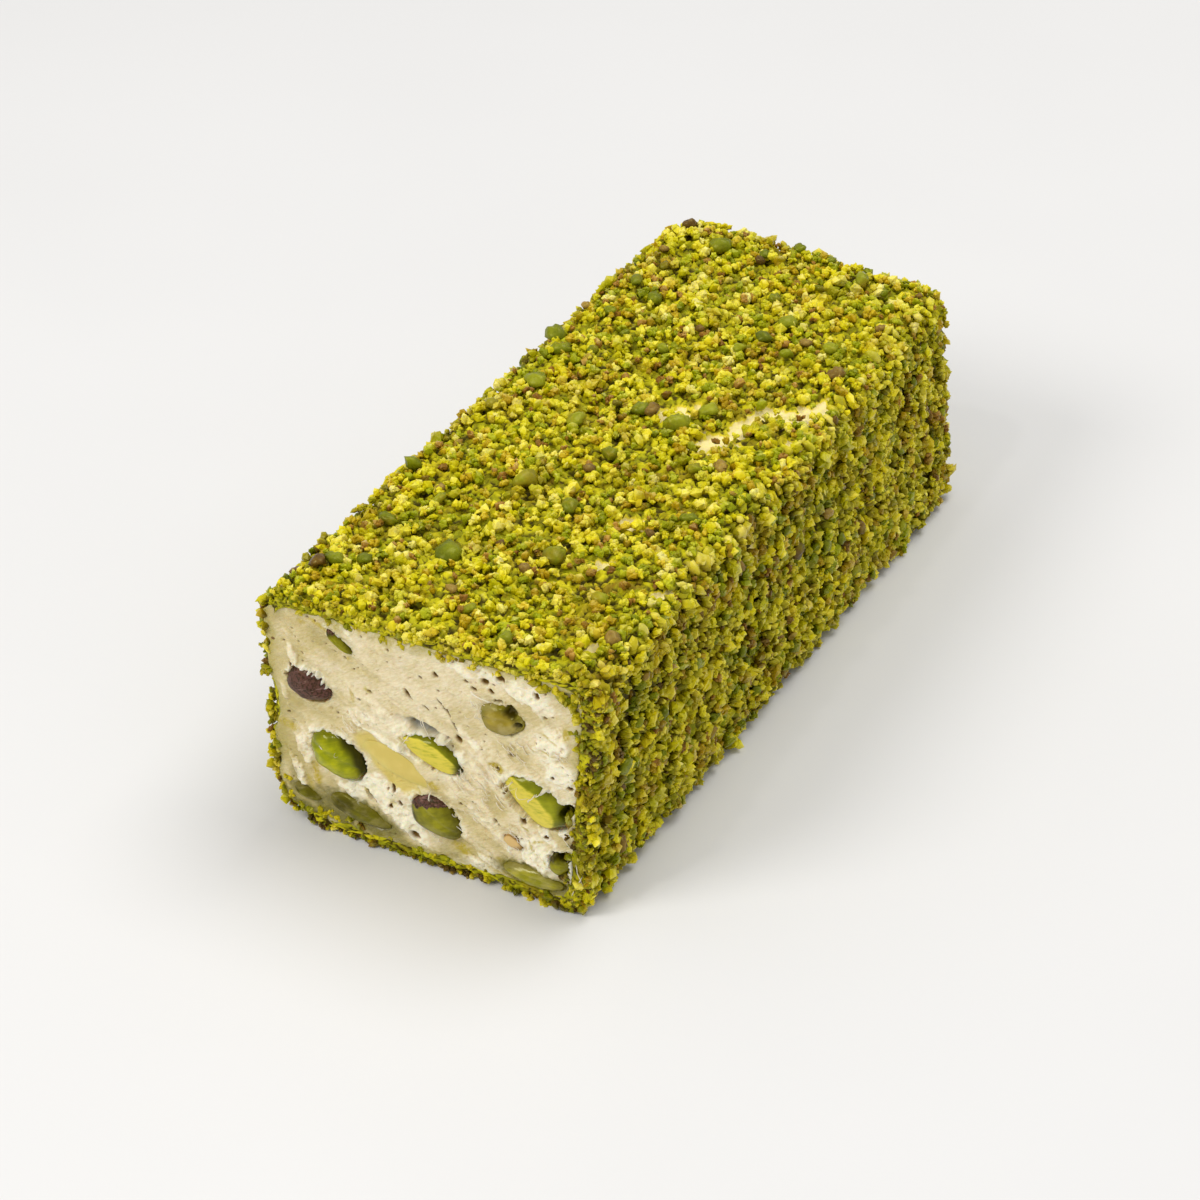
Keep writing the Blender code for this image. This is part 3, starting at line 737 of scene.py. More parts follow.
def make_nougat():
    """The nougat as one closed body.

    Its cut face is a grid in across and up. The grid's outline is carried back station by station, drawn in
    at the back edge, and closed at a middle point.
    """
    columns = np.linspace(NOUGAT_LEFT, NOUGAT_RIGHT, FACE_COLUMNS)
    rows = np.linspace(NOUGAT_FOOT, NOUGAT_TOP, FACE_ROWS)
    across, up = rounded(*np.meshgrid(columns, rows))
    near_edge = smooth(-rounded_border(across, up), -WANDER_WIDTH, 0.0)
    wander_across = 0.5 * ripple(up + 50, across * 0.2, 1.7, 26) * near_edge
    wander_up = 0.7 * ripple(across + 80, up * 0.2, 2.0, 27) * near_edge
    across, up = across + wander_across, up + wander_up
    smear = smooth(NOUGAT_LEFT + SMEAR_WIDTH - across, 0.0, SMEAR_WIDTH)
    smear = smear * smooth(ripple(0 * across + 7.0, up, 3.0, 33), -0.5, 0.1)
    face = pressed(np.stack((across - SMEARED * smear, np.full_like(across, CUT), up), -1))
    height, covers = cut_relief(face[..., 0], face[..., 2])
    face[..., 1] -= height
    numbers = np.arange(FACE_ROWS * FACE_COLUMNS).reshape(FACE_ROWS, FACE_COLUMNS)
    loop = np.concatenate((numbers[0, :-1], numbers[:-1, -1], numbers[-1, :0:-1], numbers[:0:-1, 0]))
    outline = np.stack((across, up), -1).reshape(-1, 2)[loop]
    middle = NOUGAT_MIDDLE
    straight = np.linspace(CUT + SIDE_START, NOUGAT_BACK - NOUGAT_ROUNDING, SIDE_STATIONS)
    turn = np.linspace(0.0, math.pi / 2, BACK_EDGE_STATIONS)[1:]
    stations = np.concatenate((straight, straight[-1] + NOUGAT_ROUNDING * np.sin(turn)))
    drawn_in = np.concatenate((np.zeros(SIDE_STATIONS), NOUGAT_ROUNDING * (1 - np.cos(turn))))
    half = np.abs(outline - middle).max(0)
    shrink = 1 - drawn_in[:, None] / half
    rings = middle + (outline - middle) * shrink[:, None, :]
    back = np.stack((rings[..., 0], np.broadcast_to(stations[:, None], rings.shape[:2]), rings[..., 1]), -1)
    pole = np.array([[middle[0], NOUGAT_BACK, middle[1]]])
    points = np.concatenate((face.reshape(-1, 3), pressed(back).reshape(-1, 3), pressed(pole)))
    count = len(loop)
    ring_numbers = numbers.size + np.arange(len(stations) * count).reshape(len(stations), count)
    ring_numbers = np.concatenate((loop[None], ring_numbers))
    beside = np.roll(ring_numbers, -1, axis=1)
    skirt = np.stack((ring_numbers[:-1], ring_numbers[1:], beside[1:], beside[:-1]), -1).reshape(-1, 4)
    last = len(points) - 1
    cap = np.stack((np.full(count, last), beside[-1], ring_numbers[-1]), -1)
    nougat = make_piece("nougat_body", points, grid_faces(FACE_ROWS, FACE_COLUMNS, False), skirt, cap)
    hidden = np.zeros(len(points) - numbers.size)
    mark(nougat, **{name: np.concatenate((cover.ravel(), hidden)) for name, cover in covers.items()})
    return nougat


nougat = make_nougat()
STICKY = {
    "Subsurface Weight": 0.45,
    "Subsurface Radius": (1.0, 0.7, 0.4),
    "Subsurface Scale": 1.6 * MM,
    "Specular IOR Level": 0.4,
    "Coat Roughness": 0.18,
}
nougat.data.materials.append(make_finish("whipped nougat", STICKY, nougat_finish))
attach(nougat, "root")
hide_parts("nougat")


# ----------------------------------------------------------------------------------------------------------
# The nuts at the cut: whole pistachio kernels kneaded into the nougat. Some still wear their purple skin, and
# the knife has gone through others, so their yellow inside shows.

KERNEL_ROUND = 56
KERNEL_LONG = 34
# What shows of each nut, in directions of the nut's own axes: its slot and finish; the slice that the knife
# took off, and how far out that lies; where skin is left and how far that reaches; the same of the side that
# painted shade darkens.
KERNEL_LOOKS = {
    "purple_kernel": ("nut_skin", "purple skin", ((0.45, -0.8, 0.5), 0.80), ((0.0, -1.0, 0.0), -2.0), None),
    "sliver_kernel": ("veiled_nut", "dull nut", None, ((-1.0, 0.0, 0.4), 0.78), ((-1.0, 0.0, 0.2), 0.55)),
    "olive_kernel": ("veiled_nut", "filmed nut", None, None, ((0.60, -0.30, 0.75), 0.82)),
    "green_kernel": ("green_nut", "fresh nut", None, None, ((0.70, 0.25, 0.66), 0.56)),
    "pale_kernel": ("pale_nut", "pale nut", ((0.0, -1.0, 0.0), 0.04), None, None),
    "split_kernel": ("cut_nut", "sliced nut", ((-0.12, -0.93, -0.35), 0.28), None, ((0.95, 0.0, 0.1), 0.80)),
    "skinned_kernel": ("green_nut", "dull nut", None, ((-0.80, 0.0, 0.60), 0.55), ((-0.4, 0.2, -0.9), 0.62)),
    "large_kernel": ("cut_nut", "sliced nut", ((-0.42, -0.76, -0.50), 0.38), None, ((0.98, 0.0, 0.15), 0.84)),
    "small_kernel": ("green_nut", "dull nut", None, None, ((-0.6, 0.0, 0.8), 0.50)),
    "right_foot_kernel": ("veiled_nut", "glassy nut", None, None, ((-0.9, 0.0, 0.4), 0.8)),
    "left_foot_kernel": ("veiled_nut", "veiled nut", None, None, ((-0.95, 0.0, 0.25), 0.3)),
    "streak_kernel": ("veiled_nut", "veiled nut", None, None, ((-0.9, 0.0, 0.2), 0.4)),
    "blush_kernel": ("nut_skin", "blushed nut", ((0.0, -1.0, 0.0), 0.4), None, ((1.0, 0.0, -0.2), 0.6)),
}
# Each finish: the flesh, its deeper mottling, its sliced inside, the colour of its painted shade, how wet it
# is and how misted over with nougat.
KERNEL_FINISHES = {
    "fresh nut": (
        (0.46, 0.46, 0.003), (0.23, 0.26, 0.002), (0.66, 0.60, 0.06), (0.03, 0.028, 0.001), 0.22, 0.0,
    ),
    "dull nut": (
        (0.31, 0.29, 0.005), (0.17, 0.16, 0.003), (0.44, 0.40, 0.03), (0.04, 0.032, 0.002), 0.25, 0.0,
    ),
    "sliced nut": (
        (0.37, 0.38, 0.004), (0.22, 0.24, 0.003), (0.76, 0.64, 0.06), (0.04, 0.04, 0.002), 0.25, 0.0,
    ),
    "filmed nut": (
        (0.38, 0.29, 0.035), (0.27, 0.20, 0.015), (0.42, 0.335, 0.06), (0.05, 0.036, 0.002), 0.15, 0.55,
    ),
    "veiled nut": (
        (0.16, 0.15, 0.004), (0.10, 0.09, 0.003), (0.30, 0.26, 0.03), (0.06, 0.052, 0.002), 0.05, 0.32,
    ),
    "glassy nut": (
        (0.42, 0.38, 0.014), (0.26, 0.25, 0.006), (0.46, 0.42, 0.05), (0.12, 0.11, 0.006), 0.4, 0.5,
    ),
    "purple skin": (
        (0.10, 0.045, 0.04), (0.05, 0.02, 0.015), (0.12, 0.048, 0.045), (0.02, 0.01, 0.006), 0.15, 0.0,
    ),
    "blushed nut": (
        (0.68, 0.42, 0.15), (0.52, 0.29, 0.09), (0.70, 0.48, 0.20), (0.27, 0.14, 0.05), 0.1, 0.15,
    ),
}
MIST = (0.56, 0.47, 0.20)
SKIN_DARK = (0.024, 0.008, 0.005)
SKIN_PURPLE = (0.11, 0.042, 0.036)
SKIN_VEIN = (0.22, 0.115, 0.10)
# A nut bulges this far past the cut. It fills its seat by these shares of its length and height, and narrows
# along its length. A groove runs down it, and a slice is this near to flat.
BULGE = 0.7
FILLS_SEAT = (1.03, 1.05)
TAPER = 0.14
GROOVE_DEPTH = 0.22
SLICE_FLATNESS = 0.84
# How far behind the cut a hole's floor lies where it goes into a nut.
HOLE_IN_NUT = 1.2


def make_kernel(name):
    """A nut from an angle along it and a turn round it.

    x = a cos, y and z = b sin of the angle, with the front's and the back's own depths. Three waves and a
    groove make it uneven. What lies beyond the slice is moved straight back, nearly onto it.
    """
    middle, (half_length, half_height), turn, proud, depth, _ = NUTS[name]
    slice_off, skin_left, shaded_side = KERNEL_LOOKS[name][2:]
    number = list(NUTS).index(name)
    draw = np.random.default_rng(100 + number)
    angle = np.linspace(0, math.pi, KERNEL_LONG)[1:-1, None]
    around = np.linspace(0, math.tau, KERNEL_ROUND, endpoint=False)[None, :]
    lengthwise = np.cos(angle) * np.ones_like(around)
    unit = np.stack((lengthwise, -np.sin(angle) * np.cos(around), np.sin(angle) * np.sin(around)), -1)
    unit = np.concatenate((unit.reshape(-1, 3), [(1.0, 0.0, 0.0), (-1.0, 0.0, 0.0)]))
    waves = draw.uniform(0, math.tau, 4)
    swell = 1 + 0.05 * np.sin(2.3 * unit[:, 0] + 3.1 * unit[:, 2] + waves[0])
    swell += 0.025 * np.sin(6.1 * unit[:, 0] - 4.7 * unit[:, 2] + waves[1])
    swell += 0.012 * np.sin(13.0 * unit[:, 0] + 11.0 * unit[:, 1] + waves[2])
    groove = 1 - GROOVE_DEPTH * np.exp(-(((unit[:, 2] - 0.15) / 0.10) ** 2)) * (unit[:, 1] < 0)
    shape = unit * swell[:, None]
    cut = np.zeros(len(shape))
    if slice_off:
        direction = np.array(slice_off[0]) / np.linalg.norm(slice_off[0])
        beyond = shape @ direction - slice_off[1]
        cut = smooth(beyond + 0.04 * np.sin(9 * unit[:, 0] + waves[1]), -0.20, 0.14)
        shape = shape - direction * np.maximum(beyond, 0)[:, None] * SLICE_FLATNESS
    skin = np.zeros(len(shape))
    if skin_left:
        direction = np.array(skin_left[0]) / np.linalg.norm(skin_left[0])
        ragged = 0.12 * np.sin(9 * unit[:, 0] + waves[3]) * np.sin(8 * unit[:, 2])
        ragged += 0.05 * np.sin(23 * unit[:, 0])
        skin = smooth(unit @ direction + ragged, skin_left[1] - 0.06, skin_left[1] + 0.06)
    # Painted shade on one side of the nut.
    dark = np.zeros(len(shape))
    if shaded_side:
        direction = np.array(shaded_side[0]) / np.linalg.norm(shaded_side[0])
        wavy = unit @ direction + 0.06 * np.sin(7 * unit[:, 0] + waves[1])
        dark = smooth(wavy, shaded_side[1] - 0.42, shaded_side[1] + 0.36)
    taper = 1 - TAPER * shape[:, 0]
    front = shape[:, 1] < 0
    deep = np.where(front, (proud + BULGE) * (groove if not slice_off else 1.0), depth) * taper
    x = shape[:, 0] * half_length * FILLS_SEAT[0]
    y = shape[:, 1] * deep
    z = shape[:, 2] * half_height * taper * FILLS_SEAT[1]
    lean = math.radians(turn)
    across = middle[0] + x * math.cos(lean) - z * math.sin(lean)
    up = middle[1] + x * math.sin(lean) + z * math.cos(lean)
    points = np.stack((across, CUT + y, up), -1)
    # Where a dark hole goes into the nut, it is sunk there and painted shade fills it.
    for hole in DARK_HOLES:
        edge = oval(across, up, on_cut(hole[:2]), *hole[2:])
        sunk = smooth(-edge, -1.15, -0.7) * front
        points[:, 1] += np.maximum(CUT + HOLE_IN_NUT - points[:, 1], 0) * sunk
        dark = np.maximum(dark, 2 * sunk)
    kernel = make_piece(name + "_dressed", points, *closed_faces(KERNEL_LONG - 2, KERNEL_ROUND))
    mark(kernel, cut=cut, skin=skin, dark=dark, rim=smooth(unit[:, 1], -0.95, -0.25))
    return kernel


def kernel_finish(flesh, deep, inside, shade, wet, misted):
    """Veined flesh, yellow where sliced, painted shade round its outline and on one side, wrinkled dark skin
    where that is left, misted over.
    """

    def build(wire):
        cloud = wire.cloud(1.9, 3.0)
        vein = wire.cloud(0.6, 3.0, wire.places((0.35, 1.0, 1.6), (0.0, math.radians(20), 0.0)))
        wrinkle = wire.cloud(0.30, 4.0)
        sliced = (wire.reads("cut") + vein * 0.3 - 0.15).between(0.15, 0.85)
        skin = (wire.reads("skin") + wrinkle * 0.25).between(0.48, 0.66)
        mottling = cloud * (0.65 + 0.35 * misted) + vein * (0.35 - 0.35 * misted)
        body = mottling.between(0.34, 0.66).mixed(deep, flesh)
        body = sliced.mixed(body, (vein * 0.6 + cloud * 0.4).between(0.25, 0.55).mixed(flesh, inside))
        # Painted shade towards the outline, where the nut meets the nougat, then on its shaded side and in
        # holes.
        body = (wire.reads("rim") * 0.55 * (1.0 - sliced)).mixed(body, shade)
        body = (wire.reads("dark") + cloud * 0.3 - 0.15).between(0.1, 0.9).mixed(body, shade)
        rumpled = wrinkle.between(0.35, 0.60).mixed(SKIN_DARK, SKIN_PURPLE)
        rumpled = vein.between(0.60, 0.72).mixed(rumpled, SKIN_VEIN)
        colour = skin.mixed(body, rumpled)
        roughness = 0.16 + sliced * 0.16 + skin * 0.26 + wrinkle * 0.1
        mist = wire.cloud(2.0, 3.0, wire.dragged(1.7))
        colour = (wire.reads("rim") * misted * 1.6).between(0.0, 1.0).mixed(colour, VEIL_AND_SHADE)
        colour = (mist.between(0.42, 0.68) * 0.7 * misted).mixed(colour, MIST)
        relief = wrinkle * (0.25 + skin * 0.9) + vein * (0.4 - 0.4 * misted)
        bump = wire.node("Bump", {}, {"Strength": 0.35, "Distance": 0.16 * MM, "Height": relief})
        gloss = (1.0 - wire.reads("dark")) * wet
        return {"Base Color": colour, "Roughness": roughness, "Coat Weight": gloss, "Normal": bump}

    return build


def pale_nut_finish(wire):
    """The palest nut's buttery flesh, plain and a little shiny."""
    return {"Base Color": pale_flesh(wire), "Roughness": 0.3 + wire.cloud(0.5) * 0.1}


MOIST = {
    "Subsurface Weight": 0.2,
    "Subsurface Radius": (1.0, 0.9, 0.1),
    "Subsurface Scale": 0.6 * MM,
    "Specular IOR Level": 0.24,
    "Specular Tint": (1.0, 0.95, 0.30, 1.0),
    "Coat Roughness": 0.05,
}
kernel_finishes = {
    name: make_finish(name, MOIST, kernel_finish(*looks)) for name, looks in KERNEL_FINISHES.items()
}
kernel_finishes["pale nut"] = make_finish("pale nut", STICKY, pale_nut_finish)
for name in NUTS:
    kernel = make_kernel(name)
    slot, finish = KERNEL_LOOKS[name][:2]
    kernel.data.materials.append(kernel_finishes[finish])
    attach(kernel, "root")
    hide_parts(name)


# ----------------------------------------------------------------------------------------------------------
# The threads: sticky nougat that the knife pulled out across the nuts and along its drag. They are soft
# strings of the same nougat, fixed at both ends.

# Each thread's two ends by pixel, how far it stands off the cut in between, and its thickness.
THREADS = (
    (514, 777, 520, 785, 1.9, 0.12), (519, 783, 533, 795, 2.0, 0.11), (533, 795, 541, 789, 2.0, 0.16),
    (540, 790, 549, 786, 1.9, 0.14), (507, 783, 517, 778, 1.4, 0.13),
    (422, 716, 432, 740, 0.30, 0.12), (419, 712, 424, 728, 0.25, 0.09),
    (404, 743, 411, 733, 0.9, 0.12), (438, 733, 447, 743, 1.2, 0.16), (446, 737, 452, 741, 1.1, 0.14),
    (432, 790, 433, 799, 0.9, 0.18), (492, 702, 486, 729, 0.5, 0.09), (476, 700, 486, 716, 0.4, 0.10),
    (470, 690, 492, 702, 0.35, 0.22), (576, 862, 585, 888, 0.3, 0.12), (583, 876, 572, 896, 0.3, 0.12),
    (560, 830, 575, 852, 0.3, 0.12), (403, 733, 412, 738, 0.9, 0.10), (340, 745, 346, 752, 1.9, 0.05),
)
# Fine fibres lie about these pixels, each place with how far they spread: how long they are in pixels, how
# steep in degrees and how much that varies, how far they stand off the cut, and how thick they are.
FIBRE_PLACES = (
    (486, 768, 17), (500, 785, 16), (480, 800, 20), (462, 778, 14), (515, 745, 14), (350, 720, 12),
    (478, 706, 12), (440, 820, 14), (515, 835, 12), (560, 750, 10),
)
FIBRES_EACH = 16
FIBRE_REACH = (4, 15)
FIBRE_SLOPE = (48, 9)
FIBRE_STAND = (0.15, 0.45)
FIBRE_THICKNESS = (0.05, 0.14)
THREAD_SIDES = 6
THREAD_STATIONS = 9
THREAD_WANDER = 0.05
THREAD_TIP = 0.004


def make_threads():
    """Thin tubes: a circle carried along a sagging arc, closed to a point at both ends.

    Along the tube, t goes from 0 to 1: the line between the ends stands off the cut by the 0.7th power of
    sin(pi t), and the thickness grows from its middle towards both ends.
    """
    draw = np.random.default_rng(200)
    rows = [list(row) for row in THREADS]
    for pixel_across, pixel_down, spread in FIBRE_PLACES:
        for _ in range(FIBRES_EACH):
            start = draw.normal((pixel_across, pixel_down), spread * 0.45)
            reach = draw.uniform(*FIBRE_REACH)
            slope = math.radians(draw.normal(*FIBRE_SLOPE))
            end = start + reach * np.array([math.cos(slope), math.sin(slope)])
            rows.append([*start, *end, draw.uniform(*FIBRE_STAND), draw.uniform(*FIBRE_THICKNESS)])
    rows = np.array(rows)
    starts = on_cut(rows[:, 0:2])
    ends = on_cut(rows[:, 2:4])
    share = np.linspace(0, 1, THREAD_STATIONS)
    line = starts[:, None] * (1 - share[:, None]) + ends[:, None] * share[:, None]
    wander = draw.normal(0, THREAD_WANDER, (len(rows), THREAD_STATIONS, 2))
    line = line + wander * np.sin(math.pi * share)[:, None]
    stand = 0.1 + rows[:, 4:5] * np.sin(math.pi * share) ** 0.7
    radius = rows[:, 5:6] / 2 * (0.75 + 0.5 * np.abs(share - 0.5) * 2)
    radius[:, [0, -1]] = THREAD_TIP
    along = ends - starts
    square = np.stack((-along[:, 1], along[:, 0]), -1) / np.linalg.norm(along, axis=1, keepdims=True)
    turn = np.linspace(0, math.tau, THREAD_SIDES, endpoint=False)
    side_reach = radius[..., None] * np.cos(turn)
    out_reach = radius[..., None] * np.sin(turn)
    x = line[..., 0, None] + square[:, 0, None, None] * side_reach
    z = line[..., 1, None] + square[:, 1, None, None] * side_reach
    y = CUT - stand[..., None] - out_reach
    points = np.stack((x, y, z), -1).reshape(len(rows), -1, 3)
    one = grid_faces(THREAD_STATIONS, THREAD_SIDES, True)
    each = THREAD_STATIONS * THREAD_SIDES
    quads = (one[None] + np.arange(len(rows))[:, None, None] * each).reshape(-1, 4)
    ends_of_one = np.stack((np.arange(THREAD_SIDES)[::-1], each - THREAD_SIDES + np.arange(THREAD_SIDES)))
    caps = (ends_of_one[None] + np.arange(len(rows))[:, None, None] * each).reshape(-1, THREAD_SIDES)
    return make_piece("nougat_threads", points.reshape(-1, 3), quads, caps)


def thread_finish(wire):
    """The same nougat drawn thin: paler, smoother, a little uneven."""
    cloud = wire.cloud(0.8, 2.0)
    colour = cloud.between(0.3, 0.7).mixed((0.82, 0.72, 0.48), (0.96, 0.88, 0.68))
    return {"Base Color": colour, "Roughness": 0.35 + cloud * 0.2}


threads = make_threads()
threads.data.materials.append(make_finish("drawn nougat", STICKY, thread_finish))
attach(threads, "root")


# ----------------------------------------------------------------------------------------------------------
# The coat: ground pistachio pressed into the sticky nougat, a side at a time, on all but the cut. It is one
# crust of packed crumbs, with painted shade in its creases, and the nougat shines through where it is thin.

TOP_ROUNDING = 3.0
FOOT_ROUNDING = 2.5
BACK_ROUNDING = 5.0
FOOT_TURN = FOOT_ROUNDING * math.pi / 2
TOP_TURN = TOP_ROUNDING * math.pi / 2
# The crust lies this far from the bar's own surface, swells this much, and has ridges this high on the sides.
CRUST_LEVEL = -1.25
CRUST_SWELL = 0.25
RIDGE_HEIGHT = 0.5
# Its crumbs and their knobs: how far apart, and how high.
CRUMB_PITCH = 1.15
CRUMB_HEIGHT = 0.95
KNOB_PITCH = 0.6
KNOB_HEIGHT = 0.50
# It starts this far behind the cut, its inner face lies this far into the nougat's box, and slabs overlap.
CUT_RECESS = 0.1
INNER_OVERLAP = 0.15
INNER_ROWS = 12
RIM_ROWS = 7
RIM_THICKNESS = 2.6
OVERLAP = 0.4
SLAB_FOOT = 0.05
# How far round the back edge the long slabs go, in shares of its turn.
PAST_BACK = 0.8
# The patterns of the rims and of the back are taken from this far along, so that they repeat no other place.
RIM_PATTERN = 900.0
BACK_PATTERN = 500.0
BACK_MARGIN = 1.6
BACK_SPACING = 0.34
BACK_DRAWN_IN = 0.35
# An outward direction with this much across is one of the two long sides', with this much up the top's.
FACING = 0.7

# Thin places: pixel across and down on the top, half length and half width in millimetres, turn in degrees.
THIN_ON_TOP = (
    (716, 434, 3.5, 2.1, 45), (742, 420, 2.8, 1.7, 60), (795, 414, 3.2, 1.5, 40), (819, 405, 3.2, 1.9, 50),
    (677, 407, 2.8, 1.8, 40), (770, 408, 2.8, 1.3, 30), (628, 519, 2.6, 1.3, 60), (598, 560, 1.6, 1.0, 40),
    (706, 402, 1.4, 0.7, 20), (664, 587, 1.6, 0.9, 50), (590, 640, 1.3, 0.8, 40), (625, 640, 1.2, 0.7, 40),
)
THIN_ON_SIDE = (
    (760, 563, 1.2, 3.4, 0), (850, 472, 1.2, 3.0, 0), (650, 600, 0.8, 1.6, 0), (815, 440, 0.8, 2.0, 0),
)


def outline_table():
    """The bar's outline seen from the cut, from the middle of its foot round to the right.

    Four straight runs joined by quarter circles. Returns the arc length and the place of each of its points.
    """
    turn = np.linspace(0, math.pi / 2, 9)
    half = BAR_WIDTH / 2
    corners = (
        (half - FOOT_ROUNDING, FOOT_ROUNDING, FOOT_ROUNDING, -math.pi / 2),
        (half - TOP_ROUNDING, BAR_HEIGHT - TOP_ROUNDING, TOP_ROUNDING, 0.0),
        (TOP_ROUNDING - half, BAR_HEIGHT - TOP_ROUNDING, TOP_ROUNDING, math.pi / 2),
        (FOOT_ROUNDING - half, FOOT_ROUNDING, FOOT_ROUNDING, math.pi),
    )
    arcs = [
        np.stack((x + radius * np.cos(start + turn), z + radius * np.sin(start + turn)), -1)
        for x, z, radius, start in corners
    ]
    places = np.concatenate(([(0.0, 0.0)], *arcs, [(0.0, 0.0)]))
    lengths = np.concatenate(([0.0], np.cumsum(np.linalg.norm(np.diff(places, axis=0), axis=1))))
    return lengths, places


OUTLINE_LENGTHS, OUTLINE_PLACES = outline_table()
GIRTH = OUTLINE_LENGTHS[-1]
RIGHT_FOOT = BAR_WIDTH / 2 - FOOT_ROUNDING + FOOT_TURN / 2
RIGHT_TOP = RIGHT_FOOT + BAR_HEIGHT - FOOT_ROUNDING - TOP_ROUNDING + (FOOT_TURN + TOP_TURN) / 2
STRAIGHT_RUN = BAR_LENGTH - BACK_ROUNDING
BACK_TURN = BACK_ROUNDING * math.pi / 2
BACK_REACH = BAR_WIDTH / 2 - BACK_ROUNDING
WHOLE_RUN = STRAIGHT_RUN + BACK_TURN + BACK_REACH
HALF_HEIGHT = BAR_HEIGHT / 2

# Each side's slab of crust: where it starts and ends round the bar, the spacing of its points, how far its
# crumbs are stretched round the bar, how much each overlaps the next like a shingle, how far they swell out
# of its end at the cut, and how deep its creases may go before they would reach the nougat.
SLABS = {
    "coat_top": (RIGHT_TOP, GIRTH - RIGHT_TOP, 0.29, 1.0, 0.0, 0.55, -1.6),
    "coat_right": (RIGHT_FOOT, RIGHT_TOP, 0.29, 2.2, 0.7, 0.55, -2.0),
    "coat_left": (GIRTH - RIGHT_TOP, GIRTH - RIGHT_FOOT, 0.34, 2.2, 0.7, 0.0, -0.9),
    "coat_foot": (-RIGHT_FOOT, RIGHT_FOOT, 0.45, 1.0, 0.0, 0.45, -1.4),
}


def skin(around, down):
    """The bar's outer surface at millimetres round it from the foot's middle and down it from the cut.

    The outline is carried along the bar, drawn in round the back edge by 1 - cos, then to the back's middle.
    """
    around, down = np.broadcast_arrays(around % GIRTH, down)
    x = np.interp(around, OUTLINE_LENGTHS, OUTLINE_PLACES[:, 0])
    z = np.interp(around, OUTLINE_LENGTHS, OUTLINE_PLACES[:, 1])
    angle = np.clip((down - STRAIGHT_RUN) / BACK_ROUNDING, 0, math.pi / 2)
    on_back = np.clip((down - STRAIGHT_RUN - BACK_TURN) / BACK_REACH, 0, 1)
    y = CUT + np.minimum(down, STRAIGHT_RUN) + BACK_ROUNDING * np.sin(angle)
    edge_share = BACK_ROUNDING / (BAR_WIDTH / 2)
    scale = (1 - edge_share * (1 - np.cos(angle))) * (1 - on_back)
    return np.stack((x * scale, y, HALF_HEIGHT + (z - HALF_HEIGHT) * scale), -1)


def outward_of(around, down):
    """The surface's outward direction: the cross product of short steps round it and down it."""
    step = 0.05
    down = np.minimum(down, WHOLE_RUN - 2 * step)
    here = pressed(skin(around, down))
    normal = np.cross(pressed(skin(around, down + step)) - here, pressed(skin(around + step, down)) - here)
    return normal / np.linalg.norm(normal, axis=-1, keepdims=True)


def lumps(across, along, pitch, seed, shingle=0.0):
    """Packed crumbs on a jittered square lattice: height from 0 to about 1, crease and tint at each point.

    Of the 9 nearest middles the nearest makes a low dome, 1 - (d / 0.8)^2, on that crumb's own level and
    tilt, tilted along by the shingle too. The crease is how much further the second nearest is.
    """
    draw = np.random.default_rng(seed)
    jitter = draw.uniform(0.05, 0.95, (LATTICE, LATTICE, 2))
    tints = draw.uniform(0, 1, (LATTICE, LATTICE))
    levels = draw.uniform(0, 1, (LATTICE, LATTICE))
    tilts = draw.uniform(-1, 1, (LATTICE, LATTICE, 2))
    column = np.floor(across / pitch).astype(int)
    row = np.floor(along / pitch).astype(int)
    nearest = np.full(across.shape, 9.0)
    second = np.full(across.shape, 9.0)
    tint, level, tilted, off = (np.zeros(across.shape) for _ in range(4))
    for step_column in (-1, 0, 1):
        for step_row in (-1, 0, 1):
            near = ((column + step_column) % LATTICE, (row + step_row) % LATTICE)
            middle = jitter[near]
            right = across / pitch - column - step_column - middle[..., 0]
            high = along / pitch - row - step_row - middle[..., 1]
            distance = np.hypot(right, high)
            closer = distance < nearest
            second = np.where(closer, nearest, np.minimum(second, distance))
            nearest = np.where(closer, distance, nearest)
            tint = np.where(closer, tints[near], tint)
            level = np.where(closer, levels[near], level)
            tilted = np.where(closer, right * tilts[near][..., 0] + high * tilts[near][..., 1], tilted)
            off = np.where(closer, high, off)
    dome = 1 - np.minimum(nearest / 0.8, 1.0) ** 2
    height = 0.25 * dome + 0.5 * level + 0.6 * tilted + shingle * off
    return height, smooth(second - nearest, 0.0, 0.22), tint


def on_face(pixels, axis, level):
    """Where each pixel meets the bar's top (axis 2) or right side (axis 0).

    The pressed face is near to flat, so its level there is looked up again three times.
    """
    lines = sight_lines(pixels)
    met = np.full(lines.shape[:-1], level)
    for _ in range(3):
        places = camera_place + ((met - camera_place[axis]) / lines[..., axis])[..., None] * lines
        flat = places.copy()
        flat[..., axis] = level
        met = pressed(flat)[..., axis]
    return places


def thinness(places):
    """1 in the middle of the thin places of the coat, 0 a little outside them."""
    across, along, up = np.moveaxis(places, -1, 0)
    thin = np.zeros(across.shape)
    ragged = 0.60 * ripple(across, along, 1.2, 301) + 0.35 * ripple(across + up, along, 0.55, 302)
    for row in THIN_ON_TOP:
        edge = oval(across, along, on_face(row[:2], 2, BAR_HEIGHT)[:2], *row[2:]) + ragged
        thin = np.maximum(thin, smooth(-edge, -1.25, -0.75) * (up > BAR_HEIGHT * 0.8))
    for row in THIN_ON_SIDE:
        edge = oval(along, up, on_face(row[:2], 0, BAR_WIDTH / 2)[1:], *row[2:]) + ragged
        thin = np.maximum(thin, smooth(-edge, -1.25, -0.75) * (across > BAR_WIDTH * 0.4))
    return thin


def side_ridges(around, down):
    """Upright ridges down the long sides, from -1 to 1: about 1.5 mm wide and 7 mm tall."""
    return ripple(around * 0.22, down + 0.5 * ripple(around, down, 3.0, 481), 1.5, 480)


def crust_swell(around, down):
    """How far the whole crust, with the crumbs on it, swells and sinks over a few millimetres."""
    return CRUST_SWELL * ripple(around, down, 6.0, 316)


